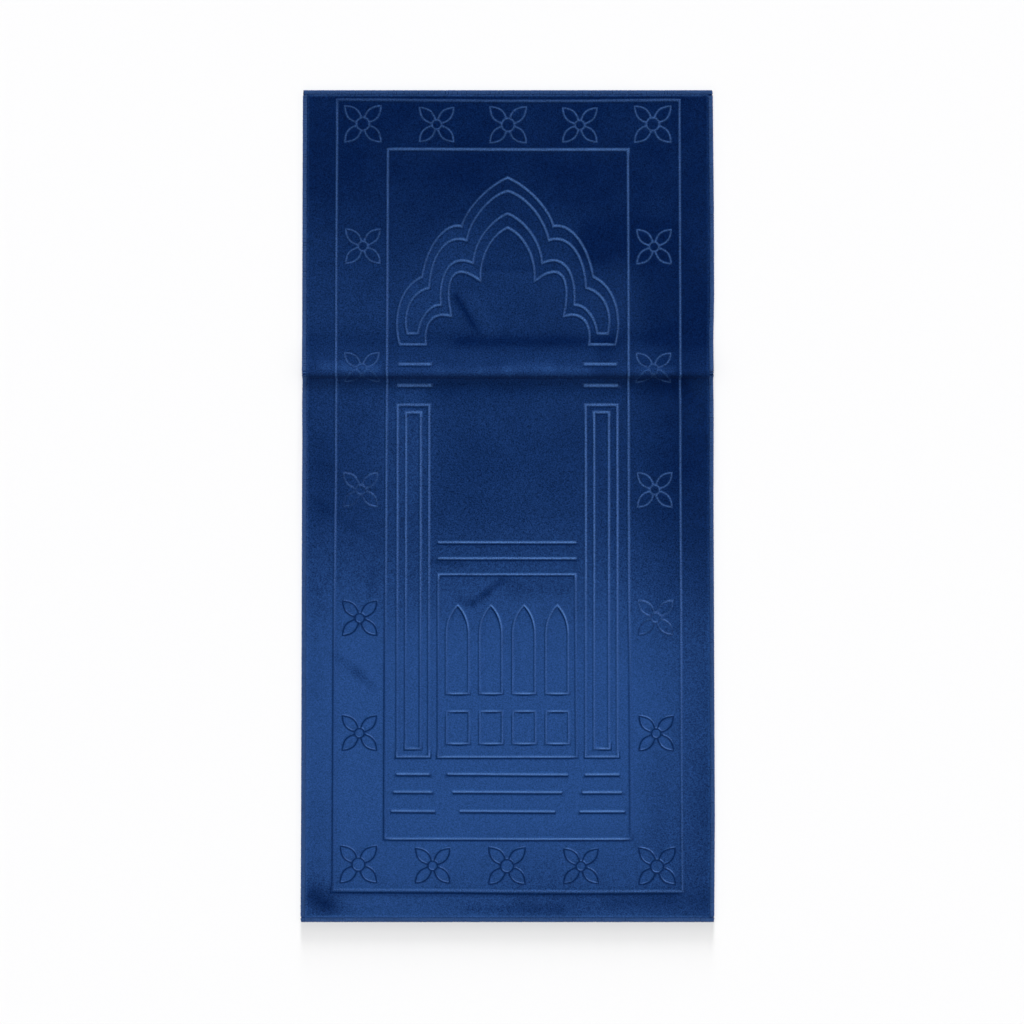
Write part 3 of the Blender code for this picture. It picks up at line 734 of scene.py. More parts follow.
# The pile's tone: its marks and random patches, with the broad painted shading and the fold's painted light
# and shade.
nap = painted_shading(x, d) + tone + PATCH_TONES[0] * slow + PATCH_TONES[1] * quick
nap = np.clip(nap, 0.0, NAP_MOST)
print(f"the pile's lean runs from {nap.min():.2f} to {nap.max():.2f}")

# %% [markdown]
# ## Raising the lines with Geometry Nodes
#
# One rule shapes the whole relief: height depends only on the distance to the nearest line. That is
# what Geometry Nodes are good at. The flat net carries the distance and the line's size as attributes,
# a Float Curve turns the distance into the section of the line and its valleys, and Set Position lifts
# the points. The curve is easy to retouch, and every line changes with it. A few helpers write node
# trees in short lines, and serve the edge and the materials further down as well.

# %% Helpers for node trees
def feed(tree, socket, value):
    """Joins an input to a value's socket, or sets it to a plain value."""
    if isinstance(value, bpy.types.NodeSocket):
        tree.links.new(value, socket)
    else:
        socket.default_value = value


def node(tree, kind, settings=(), inputs=()):
    """A new node with these settings and inputs."""
    made = tree.nodes.new(kind)
    for name, value in dict(settings).items():
        setattr(made, name, value)
    for name, value in dict(inputs).items():
        feed(tree, made.inputs[name], value)
    return made


def maths(tree, operation, *values):
    """The result of one Math node."""
    return node(tree, "ShaderNodeMath", {"operation": operation}, dict(enumerate(values))).outputs[0]


def new_tree(name, inputs):
    """A Geometry Nodes tree with a mesh in and out, and these named inputs of (name, kind, value)."""
    tree = bpy.data.node_groups.new(name, "GeometryNodeTree")
    for way in ("INPUT", "OUTPUT"):
        tree.interface.new_socket("Geometry", in_out=way, socket_type="NodeSocketGeometry")
    for label, kind, value in inputs:
        socket = tree.interface.new_socket(label, in_out="INPUT", socket_type="NodeSocket" + kind)
        if value is not None:
            socket.default_value = value
    return tree


def put(name, data):
    """A new object in the scene, with this mesh, light or camera."""
    made = bpy.data.objects.new(name, data)
    bpy.context.scene.collection.objects.link(made)
    return made


def set_floats(mesh, name, values):
    """Gives each point of a mesh a number, which a node tree can read by this name."""
    layer = mesh.attributes.new(name, "FLOAT", "POINT")
    layer.data.foreach_set("value", np.asarray(values, dtype=np.float32))


def grown(name, mesh, tree, inputs):
    """The plain mesh that a tree makes of this one. Its inputs are set by their identifiers."""
    start = put(name, mesh)
    modifier = start.modifiers.new(tree.name, "NODES")
    modifier.node_group = tree
    for item in tree.interface.items_tree:
        if item.name in inputs:
            modifier[item.identifier] = inputs[item.name]
    graph = bpy.context.evaluated_depsgraph_get()
    result = bpy.data.meshes.new_from_object(start.evaluated_get(graph))
    result.name = name
    bpy.data.objects.remove(start)
    return result


# %% The node tree that embosses
SECTION_REACH, SECTION_DEPTH = 6.0, 0.5
LINE_HEIGHT = 1.15
SECTION_COLUMNS = ("distance", "height")
SECTION_ROWS = (
    (0.0, 1.0),
    (0.8, 0.96),
    (1.6, 0.72),
    (2.4, 0.18),
    (3.3, -0.3),
    (4.4, -0.13),
    (SECTION_REACH, 0.0),
)

emboss = new_tree("emboss", (("Line height", "Float", LINE_HEIGHT), ("Reach", "Float", SECTION_REACH)))
entry = node(emboss, "NodeGroupInput").outputs
reader = ("GeometryNodeInputNamedAttribute", {"data_type": "FLOAT"})
distance, size = (
    node(emboss, *reader, {"Name": name}).outputs["Attribute"] for name in ("line_distance", "line_size")
)
divide = {"operation": "DIVIDE", "use_clamp": True}
share = node(emboss, "ShaderNodeMath", divide, {0: distance, 1: entry["Reach"]}).outputs[0]
section = node(emboss, "ShaderNodeFloatCurve", inputs={"Value": share})
stops = [
    (row["distance"] / SECTION_REACH, (row["height"] + SECTION_DEPTH) / (1.0 + SECTION_DEPTH))
    for row in records(SECTION_COLUMNS, SECTION_ROWS)
]
points = section.mapping.curves[0].points
points[0].location, points[-1].location = stops[0], stops[-1]
for stop in stops[1:-1]:
    points.new(*stop)
section.mapping.update()
height = maths(emboss, "MULTIPLY_ADD", section.outputs[0], 1.0 + SECTION_DEPTH, -SECTION_DEPTH)
height = maths(emboss, "MULTIPLY", maths(emboss, "MULTIPLY", height, size), entry["Line height"])
lift = node(emboss, "ShaderNodeCombineXYZ", inputs={"Z": height}).outputs[0]
move = node(emboss, "GeometryNodeSetPosition", inputs={"Geometry": entry["Geometry"], "Offset": lift})
node(emboss, "NodeGroupOutput", inputs={"Geometry": move.outputs[0]})
print("the emboss tree has", len(emboss.nodes), "nodes")

# %% Emboss the flat net
away, kinds, ways, runs = finder.find(flat)
of_kind = {name: np.array([kind[name] for kind in KINDS.values()])[kinds] for name in KIND_COLUMNS[1:]}
sizes = of_kind["size"]
flat_mesh = bpy.data.meshes.new("flat_net")
flat_mesh.from_pydata([(px, py, 0.0) for px, py in flat], [], faces)
set_floats(flat_mesh, "line_distance", away)
set_floats(flat_mesh, "line_size", sizes)
raised = grown("raised", flat_mesh, emboss, {"Line height": LINE_HEIGHT, "Reach": SECTION_REACH})
relief = np.zeros(len(raised.vertices) * 3, dtype=np.float32)
raised.vertices.foreach_get("co", relief)
relief = relief.reshape(-1, 3)[:, 2].astype(float)
print(f"the relief runs from {relief.min():.2f} to {relief.max():.2f} mm")

# %% [markdown]
# ## The cloth as one closed sheet
#
# The pressed face, the plain underside and the rim between them make one closed mesh, so the cloth has
# its true thickness from every side. The two faces share the rim's loops, so their rims meet point for
# point. Heights are laid over the underside and the whole sheet is then carried onto the fold.

# %% Heights of the two faces
PUFF, PUFF_REACH = 0.4, 3.5
SWELL_SLOW, SWELL_QUICK, DENT = 0.245, 0.105, 0.5
FIELD_EDGE = (8.0, 26.0)


def inset_of(points):
    """How far inside the cloth's outline each point lies."""
    return np.minimum(HALF - np.abs(points[:, 0]), np.minimum(points[:, 1], CUT_LENGTH - points[:, 1]))


def rim_height(points, face):
    """The plain height of one face here, which changes only near the rim."""
    return np.interp(inset_of(points), [r["inset"] for r in RIM], [r[face] for r in RIM])


def inside(points, outline):
    """Which points lie inside a closed outline, by counting the sides that a level ray crosses."""
    within = np.zeros(len(points), dtype=bool)
    for (x0, d0), (x1, d1) in zip(outline, outline[1:]):
        crosses = (points[:, 1] < d0) != (points[:, 1] < d1)
        with np.errstate(divide="ignore", invalid="ignore"):
            at = x0 + (points[:, 1] - d0) * (x1 - x0) / (d1 - d0)
        within ^= crosses & (points[:, 0] < at)
    return within


in_flower = np.zeros(len(flat), dtype=bool)
for kind, line in pattern:
    if kind == "flower":
        low_x, low_d = np.min(line, axis=0)
        high_x, high_d = np.max(line, axis=0)
        close = np.flatnonzero((x > low_x) & (x < high_x) & (d > low_d) & (d < high_d))
        in_flower[close] |= inside(flat[close], line)
puff = np.where(in_flower, PUFF * np.clip(away * sizes / PUFF_REACH, 0.0, 1.0), 0.0)
beside = inset_of(flat)
soft_form = (SWELL_SLOW * slow + SWELL_QUICK * quick - DENT * dent) * soft_step(beside, *FIELD_EDGE)
top_height = rim_height(flat, "top") + relief + puff + soft_form
low_flat, low_faces = rim_net().triangles()
low_height = rim_height(low_flat, "bottom")
print(f"the pressed face stands {top_height.min():.1f} to {top_height.max():.1f} mm over the underside")


# %% Join them into one sheet
def boundary(triangles):
    """The directed edges that only one triangle uses."""
    sides = {(a, b) for face in triangles for a, b in zip(face, face[1:] + face[:1])}
    return [(a, b) for a, b in sides if (b, a) not in sides]


def rim_name(spot):
    """A name that the same rim point has in both faces."""
    return (round(float(spot[0]), 1), round(float(spot[1]), 1))


shift = len(flat)
below = {rim_name(low_flat[a]): shift + a for side in boundary(low_faces) for a in side}
top_rim = boundary(faces)
walls = []
for a, b in top_rim:
    low_a, low_b = below[rim_name(flat[a])], below[rim_name(flat[b])]
    walls += [(a, b, low_b), (a, low_b, low_a)]
panel_points = np.concatenate([lay(x, d, top_height), lay(low_flat[:, 0], low_flat[:, 1], low_height)])
panel_faces = [face[::-1] for face in faces]
panel_faces += [tuple(shift + k for k in face) for face in low_faces] + walls
panel_mesh = bpy.data.meshes.new("plush_panel")
panel_mesh.from_pydata([tuple(p) for p in panel_points], [], panel_faces)
panel_mesh.shade_smooth()
panel = put("plush_panel", panel_mesh)
print(len(panel_points), "points and", len(panel_faces), "triangles in the sheet")

# %% [markdown]
# ## How a pressed line catches the light
#
# A line's pile stands up, so the side that faces the light glows, and the valley behind it falls dark.
# Pile scatters light in a way that a bump or the relief alone can't show, so each point of the net gets
# a share of light and a share of dark, worked out from its distance to the line and from the way the
# line runs. Both change slowly over the rug: where two values stand in a pair, the first holds near the
# arch and the second near the foot. ALONG is for lines that run along the rug, ACROSS for lines that run
# across it, and FOOT adds to the outer frame near the foot. Middles and half-widths are in millimetres
# from a line of size 1. The light's middle counts towards the light, and the dark's away from it.

# %% Where the light falls on a line
LIGHT_WAY = np.array([0.34, -0.94])
LEVEL_ACROSS, WINDOW_ACROSS = 0.6, 1.5
HALF_TURNED = math.sqrt(0.5)
SLANT, PRESSED_FROM_TO, FLOWER_FOOT_FROM_TO = 0.4, (470.0, 680.0), (560.0, 780.0)
FAR_RIGHT_FROM_TO, LATE_FROM_TO, RIGHT_IS_LATER = (150.0, 240.0), (640.0, 900.0), 110.0
END_FROM_TO = (0.3, 0.9)


def between(share, first, second):
    """The first value where the share is 0, and the second where it is 1."""
    return first * (1.0 - share) + second * share


def nearest_is(name):
    """Which points have a line of this kind as their nearest."""
    return kinds == KINDS[name]["number"]


fine, on_bar, on_window = nearest_is("flower"), nearest_is("bar"), nearest_is("window")
past = np.abs((runs * ways).sum(axis=1))
past_end = soft_step(past, *END_FROM_TO) * on_bar
facing = ways @ LIGHT_WAY
square_on = np.abs(runs[:, 0] * LIGHT_WAY[1] - runs[:, 1] * LIGHT_WAY[0])
square_on = np.where((past > HALF_TURNED) & ~fine & ~on_bar, np.abs(runs @ LIGHT_WAY), square_on)
across = np.clip((square_on - LIGHT_WAY[0]) / LEVEL_ACROSS, 0.0, 1.0)
across = np.where(on_window, np.clip(WINDOW_ACROSS * across, 0.0, 1.0), across)
mitred = np.where(fine, 1.0, np.maximum(past, np.sqrt(np.clip(1.0 - past**2, 0.0, 1.0))))
signed = np.where(facing > 0.0, away, -away) * mitred

far_right = soft_step(x, *FAR_RIGHT_FROM_TO)
# The two shares below run from 0 near the arch to 1 near the foot. They move the lines' painted light and
# shade, from mostly painted light to mostly painted shade; the relief is the same everywhere.
pressed = soft_step(d - SLANT * x, *PRESSED_FROM_TO)
flower_foot_share = soft_step(d - SLANT * x, *FLOWER_FOOT_FROM_TO)
late = soft_step(d - RIGHT_IS_LATER * far_right, *LATE_FROM_TO)
frame_foot = pressed * nearest_is("outer frame")
print(f"{np.mean(across > HALF_TURNED):.0%} of the points are beside lines that run across the rug")

# %% The light band of each line
GLOW_PLACES = (-250.0, -150.0, -50.0, 50.0, 150.0, 250.0)
GLOW_ACROSS = (0.82, 0.88, 0.93, 1.0, 1.12, 1.3)
GLOW_ALONG = (0.9, 0.86, 0.95, 1.0, 1.04, 1.04)
FOOT_ALONG = (0.0, 0.5, 0.7, 1.0, 1.2, 2.6)
SPECKLE, SPECKLE_SIZE, SPECKLE_SEED = 0.3, 3.0, 9.0
LIT_MIDDLE_ALONG, LIT_MIDDLE_ACROSS, LIT_MIDDLE_FOOT = (0.0, -0.5), (0.45, -0.25), 0.8
LIT_HALF_ALONG, LIT_HALF_ACROSS, LIT_HALF_FOOT = (1.45, 1.25), (2.05, 1.25), 0.5
LIT_POWER_ALONG, LIT_POWER_ACROSS, LIT_LOSS_AT_END = 2.2, 3.0, 0.7

glow_across = between(pressed, of_kind["across_top"], of_kind["across_foot"])
glow_across = glow_across * np.interp(x, GLOW_PLACES, GLOW_ACROSS)
foot_along = of_kind["along_foot"] * np.interp(x, GLOW_PLACES, FOOT_ALONG)
glow_along = between(late, of_kind["along_top"] * np.interp(x, GLOW_PLACES, GLOW_ALONG), foot_along)
speckle = 1.0 + SPECKLE * patches(flat, SPECKLE_SIZE, SPECKLE_SEED)
glow = between(across, glow_along, glow_across) * speckle
middle_across = between(pressed, *LIT_MIDDLE_ACROSS) + LIT_MIDDLE_FOOT * frame_foot
half_across = between(pressed, *LIT_HALF_ACROSS) + LIT_HALF_FOOT * frame_foot
lit_middle = between(across, between(late, *LIT_MIDDLE_ALONG), middle_across)
lit_half = between(across, between(late, *LIT_HALF_ALONG), half_across)
power = between(across, LIT_POWER_ALONG, LIT_POWER_ACROSS)
lit = glow * np.exp(-((np.abs(signed - lit_middle) / lit_half) ** power))
lit = lit * (1.0 - LIT_LOSS_AT_END * past_end)

# %% The dark band of each line
SHADE_MIDDLE_ALONG, SHADE_MIDDLE_ACROSS, SHADE_MIDDLE_FOOT = (2.35, 2.3), (2.95, 3.1), 1.2
SHADE_HALF_ALONG, SHADE_HALF_FRAME = (1.0, 1.2), 1.5
SHADE_HALF_ACROSS, SHADE_HALF_FOOT = (1.2, 1.5), 0.2
DEPTH_ALONG, DEPTH_FRAME, DEPTH_FOOT, DEPTH_WINDOW = (0.5, 0.68), 0.82, 0.3, 0.25
RIGHT_HALF_FROM_TO, RIGHT_HALF_LOSS, FAR_RIGHT_LOSS = (60.0, 130.0), 0.35, 0.25

framing = kinds <= KINDS["inner frame"]["number"]
half_along = between(late, SHADE_HALF_ALONG[0], np.where(framing, SHADE_HALF_FRAME, SHADE_HALF_ALONG[1]))
depth_along = between(late, DEPTH_ALONG[0], np.where(framing, DEPTH_FRAME, DEPTH_ALONG[1]))
loss = RIGHT_HALF_LOSS * soft_step(x, *RIGHT_HALF_FROM_TO) + FAR_RIGHT_LOSS * far_right
middle_across = between(pressed, *SHADE_MIDDLE_ACROSS) + SHADE_MIDDLE_FOOT * frame_foot
half_across = between(pressed, *SHADE_HALF_ACROSS) + SHADE_HALF_FOOT * frame_foot
depth_across = 1.0 + DEPTH_FOOT * frame_foot + DEPTH_WINDOW * on_window
shade_middle = between(across, between(late, *SHADE_MIDDLE_ALONG), middle_across)
shade_half = between(across, half_along, half_across)
shade = between(across, depth_along * (1.0 - loss), depth_across) * (1.0 - past_end)
shade = shade * bump_at(-signed, shade_middle, shade_half)

# %% The flowers' fine lines: painted light near the arch, painted shade near the foot, faded at the fold
FINE_LIGHT, FINE_LIP, LIP_FACING = (0.0, 1.9), (2.4, 1.2), (0.5, 0.9)
FINE_VALLEY, FINE_VALLEY_DEPTH, FINE_DARK = (3.4, 1.4), 0.3, (0.0, 2.1)
FOLD_FADE, FOLD_FADE_LIGHT_LOSS, FOLD_FADE_DARK_LOSS = (424.0, 17.0), 0.75, 0.9

# Near the fold's crest and crease, the flowers' painted light and shade fade away.
fold_fade = fine * bump_at(d, *FOLD_FADE)
light_line = (1.0 - flower_foot_share) * glow * bump_at(away, *FINE_LIGHT)
light_lip = flower_foot_share * glow * bump_at(away, *FINE_LIP) * soft_step(facing, *LIP_FACING) * across**2
dark_line = np.maximum(
    FINE_VALLEY_DEPTH * (1.0 - flower_foot_share) * bump_at(away, *FINE_VALLEY), flower_foot_share * bump_at(away, *FINE_DARK)
)
lit = np.where(fine, light_line + light_lip, lit) * (1.0 - FOLD_FADE_LIGHT_LOSS * fold_fade)
shade = np.where(fine, dark_line, shade) * (1.0 - FOLD_FADE_DARK_LOSS * fold_fade)
print(f"the lines glow up to {lit.max():.2f}, and {int(fine.sum())} points are beside a flower's line")

# %% The painted highlight on the lip beside the thread, the petals and the arch, and the attributes that the plush reads
PETAL_TONES = (-0.021, 0.07)
ARCH_TONE, ARCH_FADE = 0.12, (-80.0, 40.0)
END_LIP, END_LIP_HIGHLIGHT, SIDE_LIP_HIGHLIGHT, LIP_GLOW = (7.8, 1.6), 0.36, 0.24, 0.12
SIDE_LIP, SIDE_LIP_FADE = (6.6, 1.5), (-280.0, -200.0)

at_end = beside < HALF - np.abs(x)
lip_highlight = bump_at(beside, *END_LIP)
outer_arch = next(line for kind, line in pattern if kind == "arch")
on_arch = inside(flat, outer_arch) * (1.0 - soft_step(x, *ARCH_FADE))
pile_and_painted_light_tones = nap + in_flower * between(flower_foot_share, *PETAL_TONES) + ARCH_TONE * on_arch
# The lip beside the thread is painted lighter as a highlight, more at the ends than along the sides, and it
# gets painted light too at the ends and on the left side near the foot.
pile_and_painted_light_tones = pile_and_painted_light_tones + np.where(at_end, END_LIP_HIGHLIGHT, SIDE_LIP_HIGHLIGHT) * lip_highlight
side_lip_highlight = bump_at(beside, *SIDE_LIP) * pressed * (1.0 - soft_step(x, *SIDE_LIP_FADE))
lit = np.clip(lit + LIP_GLOW * np.where(at_end, lip_highlight, side_lip_highlight), 0.0, 1.0)
# The first attribute holds the pile's tones with the painted shading and highlights, and lit and shade hold
# the lines' painted light and shade.
for name, values in (("nap", pile_and_painted_light_tones), ("lit", lit), ("shade", shade)):
    set_floats(panel_mesh, name, np.concatenate([values, np.zeros(len(low_flat))]))
print("attributes:", ", ".join(a.name for a in panel_mesh.attributes if not a.name.startswith(".")))

# %% [markdown]
# ## The plush
#
# Plush is thousands of short, dull fibres that stand on end. The material mixes a dark and a light blue
# by one attribute, which holds the pile's own tones and marks together with painted shading: the broad
# change over the rug, the fold's painted light and shade, and a painted highlight on the lip beside the
# thread. Over that, `lit` paints in the light blue of a line's lit side, and `shade` the near black
# painted shade of the valley behind it. A mottled grain of 2 mm clumps, with finer fibre over it,
# breaks the surface up, and a little sheen lights it where it turns away.

# %% Material helpers
def new_material(name, roughness, specular=0.1, sheen=0.0, sheen_tint=(1.0, 1.0, 1.0)):
    """A cloth material: (material, its node tree, its shader)."""
    material = bpy.data.materials.new(name)
    material.use_nodes = True
    shader = material.node_tree.nodes["Principled BSDF"]
    for label, value in (
        ("Roughness", roughness),
        ("Specular IOR Level", specular),
        ("Sheen Weight", sheen),
        ("Sheen Roughness", 0.5),
        ("Sheen Tint", (*sheen_tint, 1.0)),
    ):
        shader.inputs[label].default_value = value
    return material, material.node_tree, shader


def blend_colours(tree, factor, first, second):
    """A colour between two, each a colour or a socket. A Mix node's colours are its sockets 6 and 7."""
    made = node(tree, "ShaderNodeMix", {"data_type": "RGBA"})
    for number, value in ((0, factor), (6, first), (7, second)):
        feed(tree, made.inputs[number], (*value, 1.0) if isinstance(value, tuple) else value)
    return made.outputs[2]


def attribute(tree, name):
    """The value of a float attribute of the piece."""
    return node(tree, "ShaderNodeAttribute", {"attribute_name": name}).outputs["Fac"]


def noise_tone(tree, place, scale, detail, roughness=0.5):
    """Noise from 0 to 1, at this many waves to the metre."""
    inputs = {"Vector": place, "Scale": scale, "Detail": detail, "Roughness": roughness}
    return node(tree, "ShaderNodeTexNoise", inputs=inputs).outputs["Fac"]


def weighted(tree, *pairs):
    """The sum of values times their shares."""
    first, *others = [maths(tree, "MULTIPLY", value, share) for value, share in pairs]
    for other in others:
        first = maths(tree, "ADD", first, other)
    return first


def cover(tree, shader, colour, height, strength, distance):
    """Gives a shader its colour, and a bump from a height."""
    inputs = {"Height": height, "Strength": strength, "Distance": distance}
    bump = node(tree, "ShaderNodeBump", inputs=inputs)
    feed(tree, shader.inputs["Base Color"], colour)
    feed(tree, shader.inputs["Normal"], bump.outputs[0])


# %% The plush material
# The plush is mixed between these two blues: the mix paints the broad shading and the fold's light and
# shade as well as the pile's own marks.
DARK_PILE, LIGHT_PILE = (0.0021, 0.0145, 0.0775), (0.0246, 0.083, 0.277)
LIT_PILE, SHADE_PILE = (0.098, 0.235, 0.6), (0.003, 0.018, 0.085)
GRAIN_COLUMNS = ("scale", "roughness", "tone")
GRAIN_ROWS = ((560.0, 0.6, 2.1), (1100.0, 0.5, 1.2))
CALM_FROM, CALM_TO, CALM_SHARE = 0.6, 0.9, 0.42
DARKEST_GRAIN = 0.15

plush, tree, shader = new_material("plush", 0.95, specular=0.02, sheen=0.03, sheen_tint=(0.2, 0.4, 1.0))
place = node(tree, "ShaderNodeTexCoord").outputs["Object"]
swings = []
for row in records(GRAIN_COLUMNS, GRAIN_ROWS):
    spots = noise_tone(tree, place, row["scale"], detail=1.0, roughness=row["roughness"])
    swings.append((maths(tree, "SUBTRACT", spots, 0.5), row["tone"]))
pile_and_painted_light_share = attribute(tree, "nap")
span = {"From Min": CALM_FROM, "From Max": CALM_TO, "To Min": 1.0, "To Max": 1.0 - CALM_SHARE}
calm = node(tree, "ShaderNodeMapRange", inputs={"Value": pile_and_painted_light_share, **span}).outputs[0]
grain = maths(tree, "MULTIPLY", weighted(tree, *swings), calm)
pile = blend_colours(tree, pile_and_painted_light_share, DARK_PILE, LIGHT_PILE)
pile = blend_colours(tree, attribute(tree, "shade"), pile, SHADE_PILE)
pile = blend_colours(tree, attribute(tree, "lit"), pile, LIT_PILE)
value = maths(tree, "MAXIMUM", maths(tree, "ADD", 1.0, grain), DARKEST_GRAIN)
speckled = node(tree, "ShaderNodeHueSaturation", inputs={"Color": pile, "Value": value}).outputs[0]
cover(tree, shader, speckled, grain, strength=0.3, distance=0.0008)
print("the plush has", len(tree.nodes), "nodes")

# %% [markdown]
# ## The underside
#
# Underneath shows the ground cloth that holds the pile: a plain, close warp knit with fine upright
# ribs. Two wave textures at the rib's and the course's pitch are enough, because nothing stands out.

# %% The backing material
RIB_PITCH, COURSE_PITCH = 1.3, 1.9
WAVE_UNIT = math.tau / 20.0
KNIT_TONE, WEAR_TONE = 0.7, 0.4
KNIT_DARK, KNIT_LIGHT = (0.006, 0.016, 0.06), (0.03, 0.065, 0.19)

backing, tree, shader = new_material("knit_backing", 0.85, sheen=0.1)
place = node(tree, "ShaderNodeTexCoord").outputs["Object"]
waves = []
for direction, pitch in (("X", RIB_PITCH), ("Y", COURSE_PITCH)):
    inputs = {"Vector": place, "Scale": WAVE_UNIT / (pitch * MM), "Distortion": 0.6, "Detail": 1.0}
    waves.append(node(tree, "ShaderNodeTexWave", {"bands_direction": direction}, inputs).outputs["Fac"])
knit = maths(tree, "MULTIPLY", *waves)
wear = noise_tone(tree, place, scale=35.0, detail=4.0)
knit_tone = weighted(tree, (knit, KNIT_TONE), (wear, WEAR_TONE))
knit_colour = blend_colours(tree, knit_tone, KNIT_DARK, KNIT_LIGHT)
cover(tree, shader, knit_colour, knit, strength=0.6, distance=0.0004)

panel_mesh.materials.append(plush)
panel_mesh.materials.append(backing)
first_low = len(faces)
slots = np.zeros(len(panel_faces), dtype=np.int32)
slots[first_low : first_low + len(low_faces)] = 1
panel_mesh.polygons.foreach_set("material_index", slots)
print(int(slots.sum()), "triangles show the backing")

# %% [markdown]
# ## The overlocked edge
#
# An overlock machine throws a loop of thread over the cloth's edge with every stitch, from a needle line
# on top, round the rim, and back to the same line underneath. Each turn is one short tube, modelled
# once. Geometry Nodes then set a turn at every pitch along the rug's outline, lean each one a little
# differently, and make the whole run real, because a run of copies would be lost in the export.

# %% One turn of thread
TURN_PITCH = 1.9
THREAD_HALF_THICK, THREAD_HALF_WIDTH = 0.45, 0.92
THREAD_SIDES = 6
TURN_COLUMNS = ("inset", "height", "along")
TURN_ROWS = (
    (5.6, 3.4, -0.95),
    (5.1, 4.15, -0.9),
    (3.9, 4.42, -0.6),
    (2.3, 4.4, -0.2),
    (1.05, 3.95, 0.05),
    (0.5, 2.9, 0.15),
    (0.55, 1.6, 0.2),
    (1.2, 0.72, 0.3),
    (2.6, 0.48, 0.45),
    (4.2, 0.48, 0.7),
    (5.7, 0.75, 0.95),
)
LINK_ROWS = (
    (5.8, 3.9, -1.2),
    (6.15, 4.3, -0.4),
    (5.95, 4.25, 0.4),
    (5.7, 3.9, 1.0),
)
LINK_HALF, LINK_SIDES = 0.34, 5


def tube(path, half_thick, half_width, sides, flat_way):
    """A tube round a path, wide along flat_way: (points, faces, a (length, turn) pair for each point)."""
    path = [Vector(p) for p in path]
    points, pairs, length = [], [], 0.0
    for k, spot in enumerate(path):
        way = (path[min(k + 1, len(path) - 1)] - path[max(k - 1, 0)]).normalized()
        across = (flat_way - way * flat_way.dot(way)).normalized()
        up = way.cross(across)
        length += (spot - path[max(k - 1, 0)]).length
        for side in range(sides):
            turn = math.tau * side / sides
            ring = across * (half_width * math.cos(turn)) + up * (half_thick * math.sin(turn))
            points.append(spot + ring)
            pairs.append((length, side / sides))
    faces = []
    for k in range(len(path) - 1):
        for side in range(sides):
            a, b = k * sides + side, k * sides + (side + 1) % sides
            faces.append((a, b, b + sides, a + sides))
    faces.append(tuple(reversed(range(sides))))
    faces.append(tuple(range(len(points) - sides, len(points))))
    return points, faces, pairs


def build_turn():
    """One turn of thread and its link of the needle line, as an object out of the scene, in metres."""
    turn_path, link_path = (
        [(-row["inset"], row["along"], row["height"]) for row in records(TURN_COLUMNS, rows)]
        for rows in (TURN_ROWS, LINK_ROWS)
    )
    along_edge, outward = Vector((0.0, 1.0, 0.0)), Vector((1.0, 0.0, 0.0))
    loop = tube(turn_path, THREAD_HALF_THICK, THREAD_HALF_WIDTH, THREAD_SIDES, along_edge)
    link = tube(link_path, LINK_HALF, LINK_HALF, LINK_SIDES, outward)
    points, faces, pairs = [], [], []
    for part_points, part_faces, part_pairs in (loop, link):
        start = len(points)
        points += [tuple(p * MM) for p in part_points]
        faces += [tuple(start + k for k in face) for face in part_faces]
        pairs += part_pairs
    mesh = bpy.data.meshes.new("thread_turn")
    mesh.from_pydata(points, [], faces)
    mesh.shade_smooth()
    set_floats(mesh, "thread_length", [length for length, _ in pairs])
    set_floats(mesh, "thread_turn", [share for _, share in pairs])
    return bpy.data.objects.new("thread_turn", mesh)


turn = build_turn()
print("one turn has", len(turn.data.polygons), "faces")

# %% The node tree that overlocks an edge
LEAN_MOST = math.radians(5.0)
LEAN_ASIDE = LEAN_MOST / 3.0
SCALE_LEAST, SCALE_MOST = 0.95, 1.04

overlock = new_tree(
    "overlock",
    (
        ("Turn", "Object", None),
        ("Pitch", "Float", TURN_PITCH * MM),
        ("Outward", "Vector", (1.0, 0.0, 0.0)),
        ("Seed", "Int", 1),
        ("Thread", "Material", None),
    ),
)
entry = node(overlock, "NodeGroupInput").outputs


def random_vector(least, most):
    """A random vector for each turn, between these two."""
    inputs = {"Min": least, "Max": most, "Seed": entry["Seed"]}
    return node(overlock, "FunctionNodeRandomValue", {"data_type": "FLOAT_VECTOR"}, inputs).outputs["Value"]


path = node(overlock, "GeometryNodeMeshToCurve", inputs={"Mesh": entry["Geometry"]}).outputs[0]
spacing = {"Curve": path, "Length": entry["Pitch"]}
stops = node(overlock, "GeometryNodeResampleCurve", {"mode": "LENGTH"}, spacing).outputs[0]
tangent = node(overlock, "GeometryNodeInputTangent").outputs[0]
axes = node(
    overlock,
    "FunctionNodeAxesToRotation",
    {"primary_axis": "Y", "secondary_axis": "X"},
    {"Primary Axis": tangent, "Secondary Axis": entry["Outward"]},
).outputs[0]
lean_by = random_vector((-LEAN_ASIDE, -LEAN_ASIDE, -LEAN_MOST), (LEAN_ASIDE, LEAN_ASIDE, LEAN_MOST))
lean_by = node(overlock, "FunctionNodeEulerToRotation", inputs={"Euler": lean_by}).outputs[0]
leaning = node(
    overlock,
    "FunctionNodeRotateRotation",
    {"rotation_space": "LOCAL"},
    {"Rotation": axes, "Rotate By": lean_by},
).outputs[0]
scale_by = random_vector((SCALE_LEAST,) * 3, (SCALE_MOST,) * 3)
one_turn = node(overlock, "GeometryNodeObjectInfo", inputs={"Object": entry["Turn"], "As Instance": True})
instances = node(
    overlock,
    "GeometryNodeInstanceOnPoints",
    inputs={
        "Points": stops,
        "Instance": one_turn.outputs["Geometry"],
        "Rotation": leaning,
        "Scale": scale_by,
    },
).outputs[0]
real = node(overlock, "GeometryNodeRealizeInstances", inputs={"Geometry": instances}).outputs[0]
dress = {"Geometry": real, "Material": entry["Thread"]}
sewn = node(overlock, "GeometryNodeSetMaterial", inputs=dress).outputs[0]
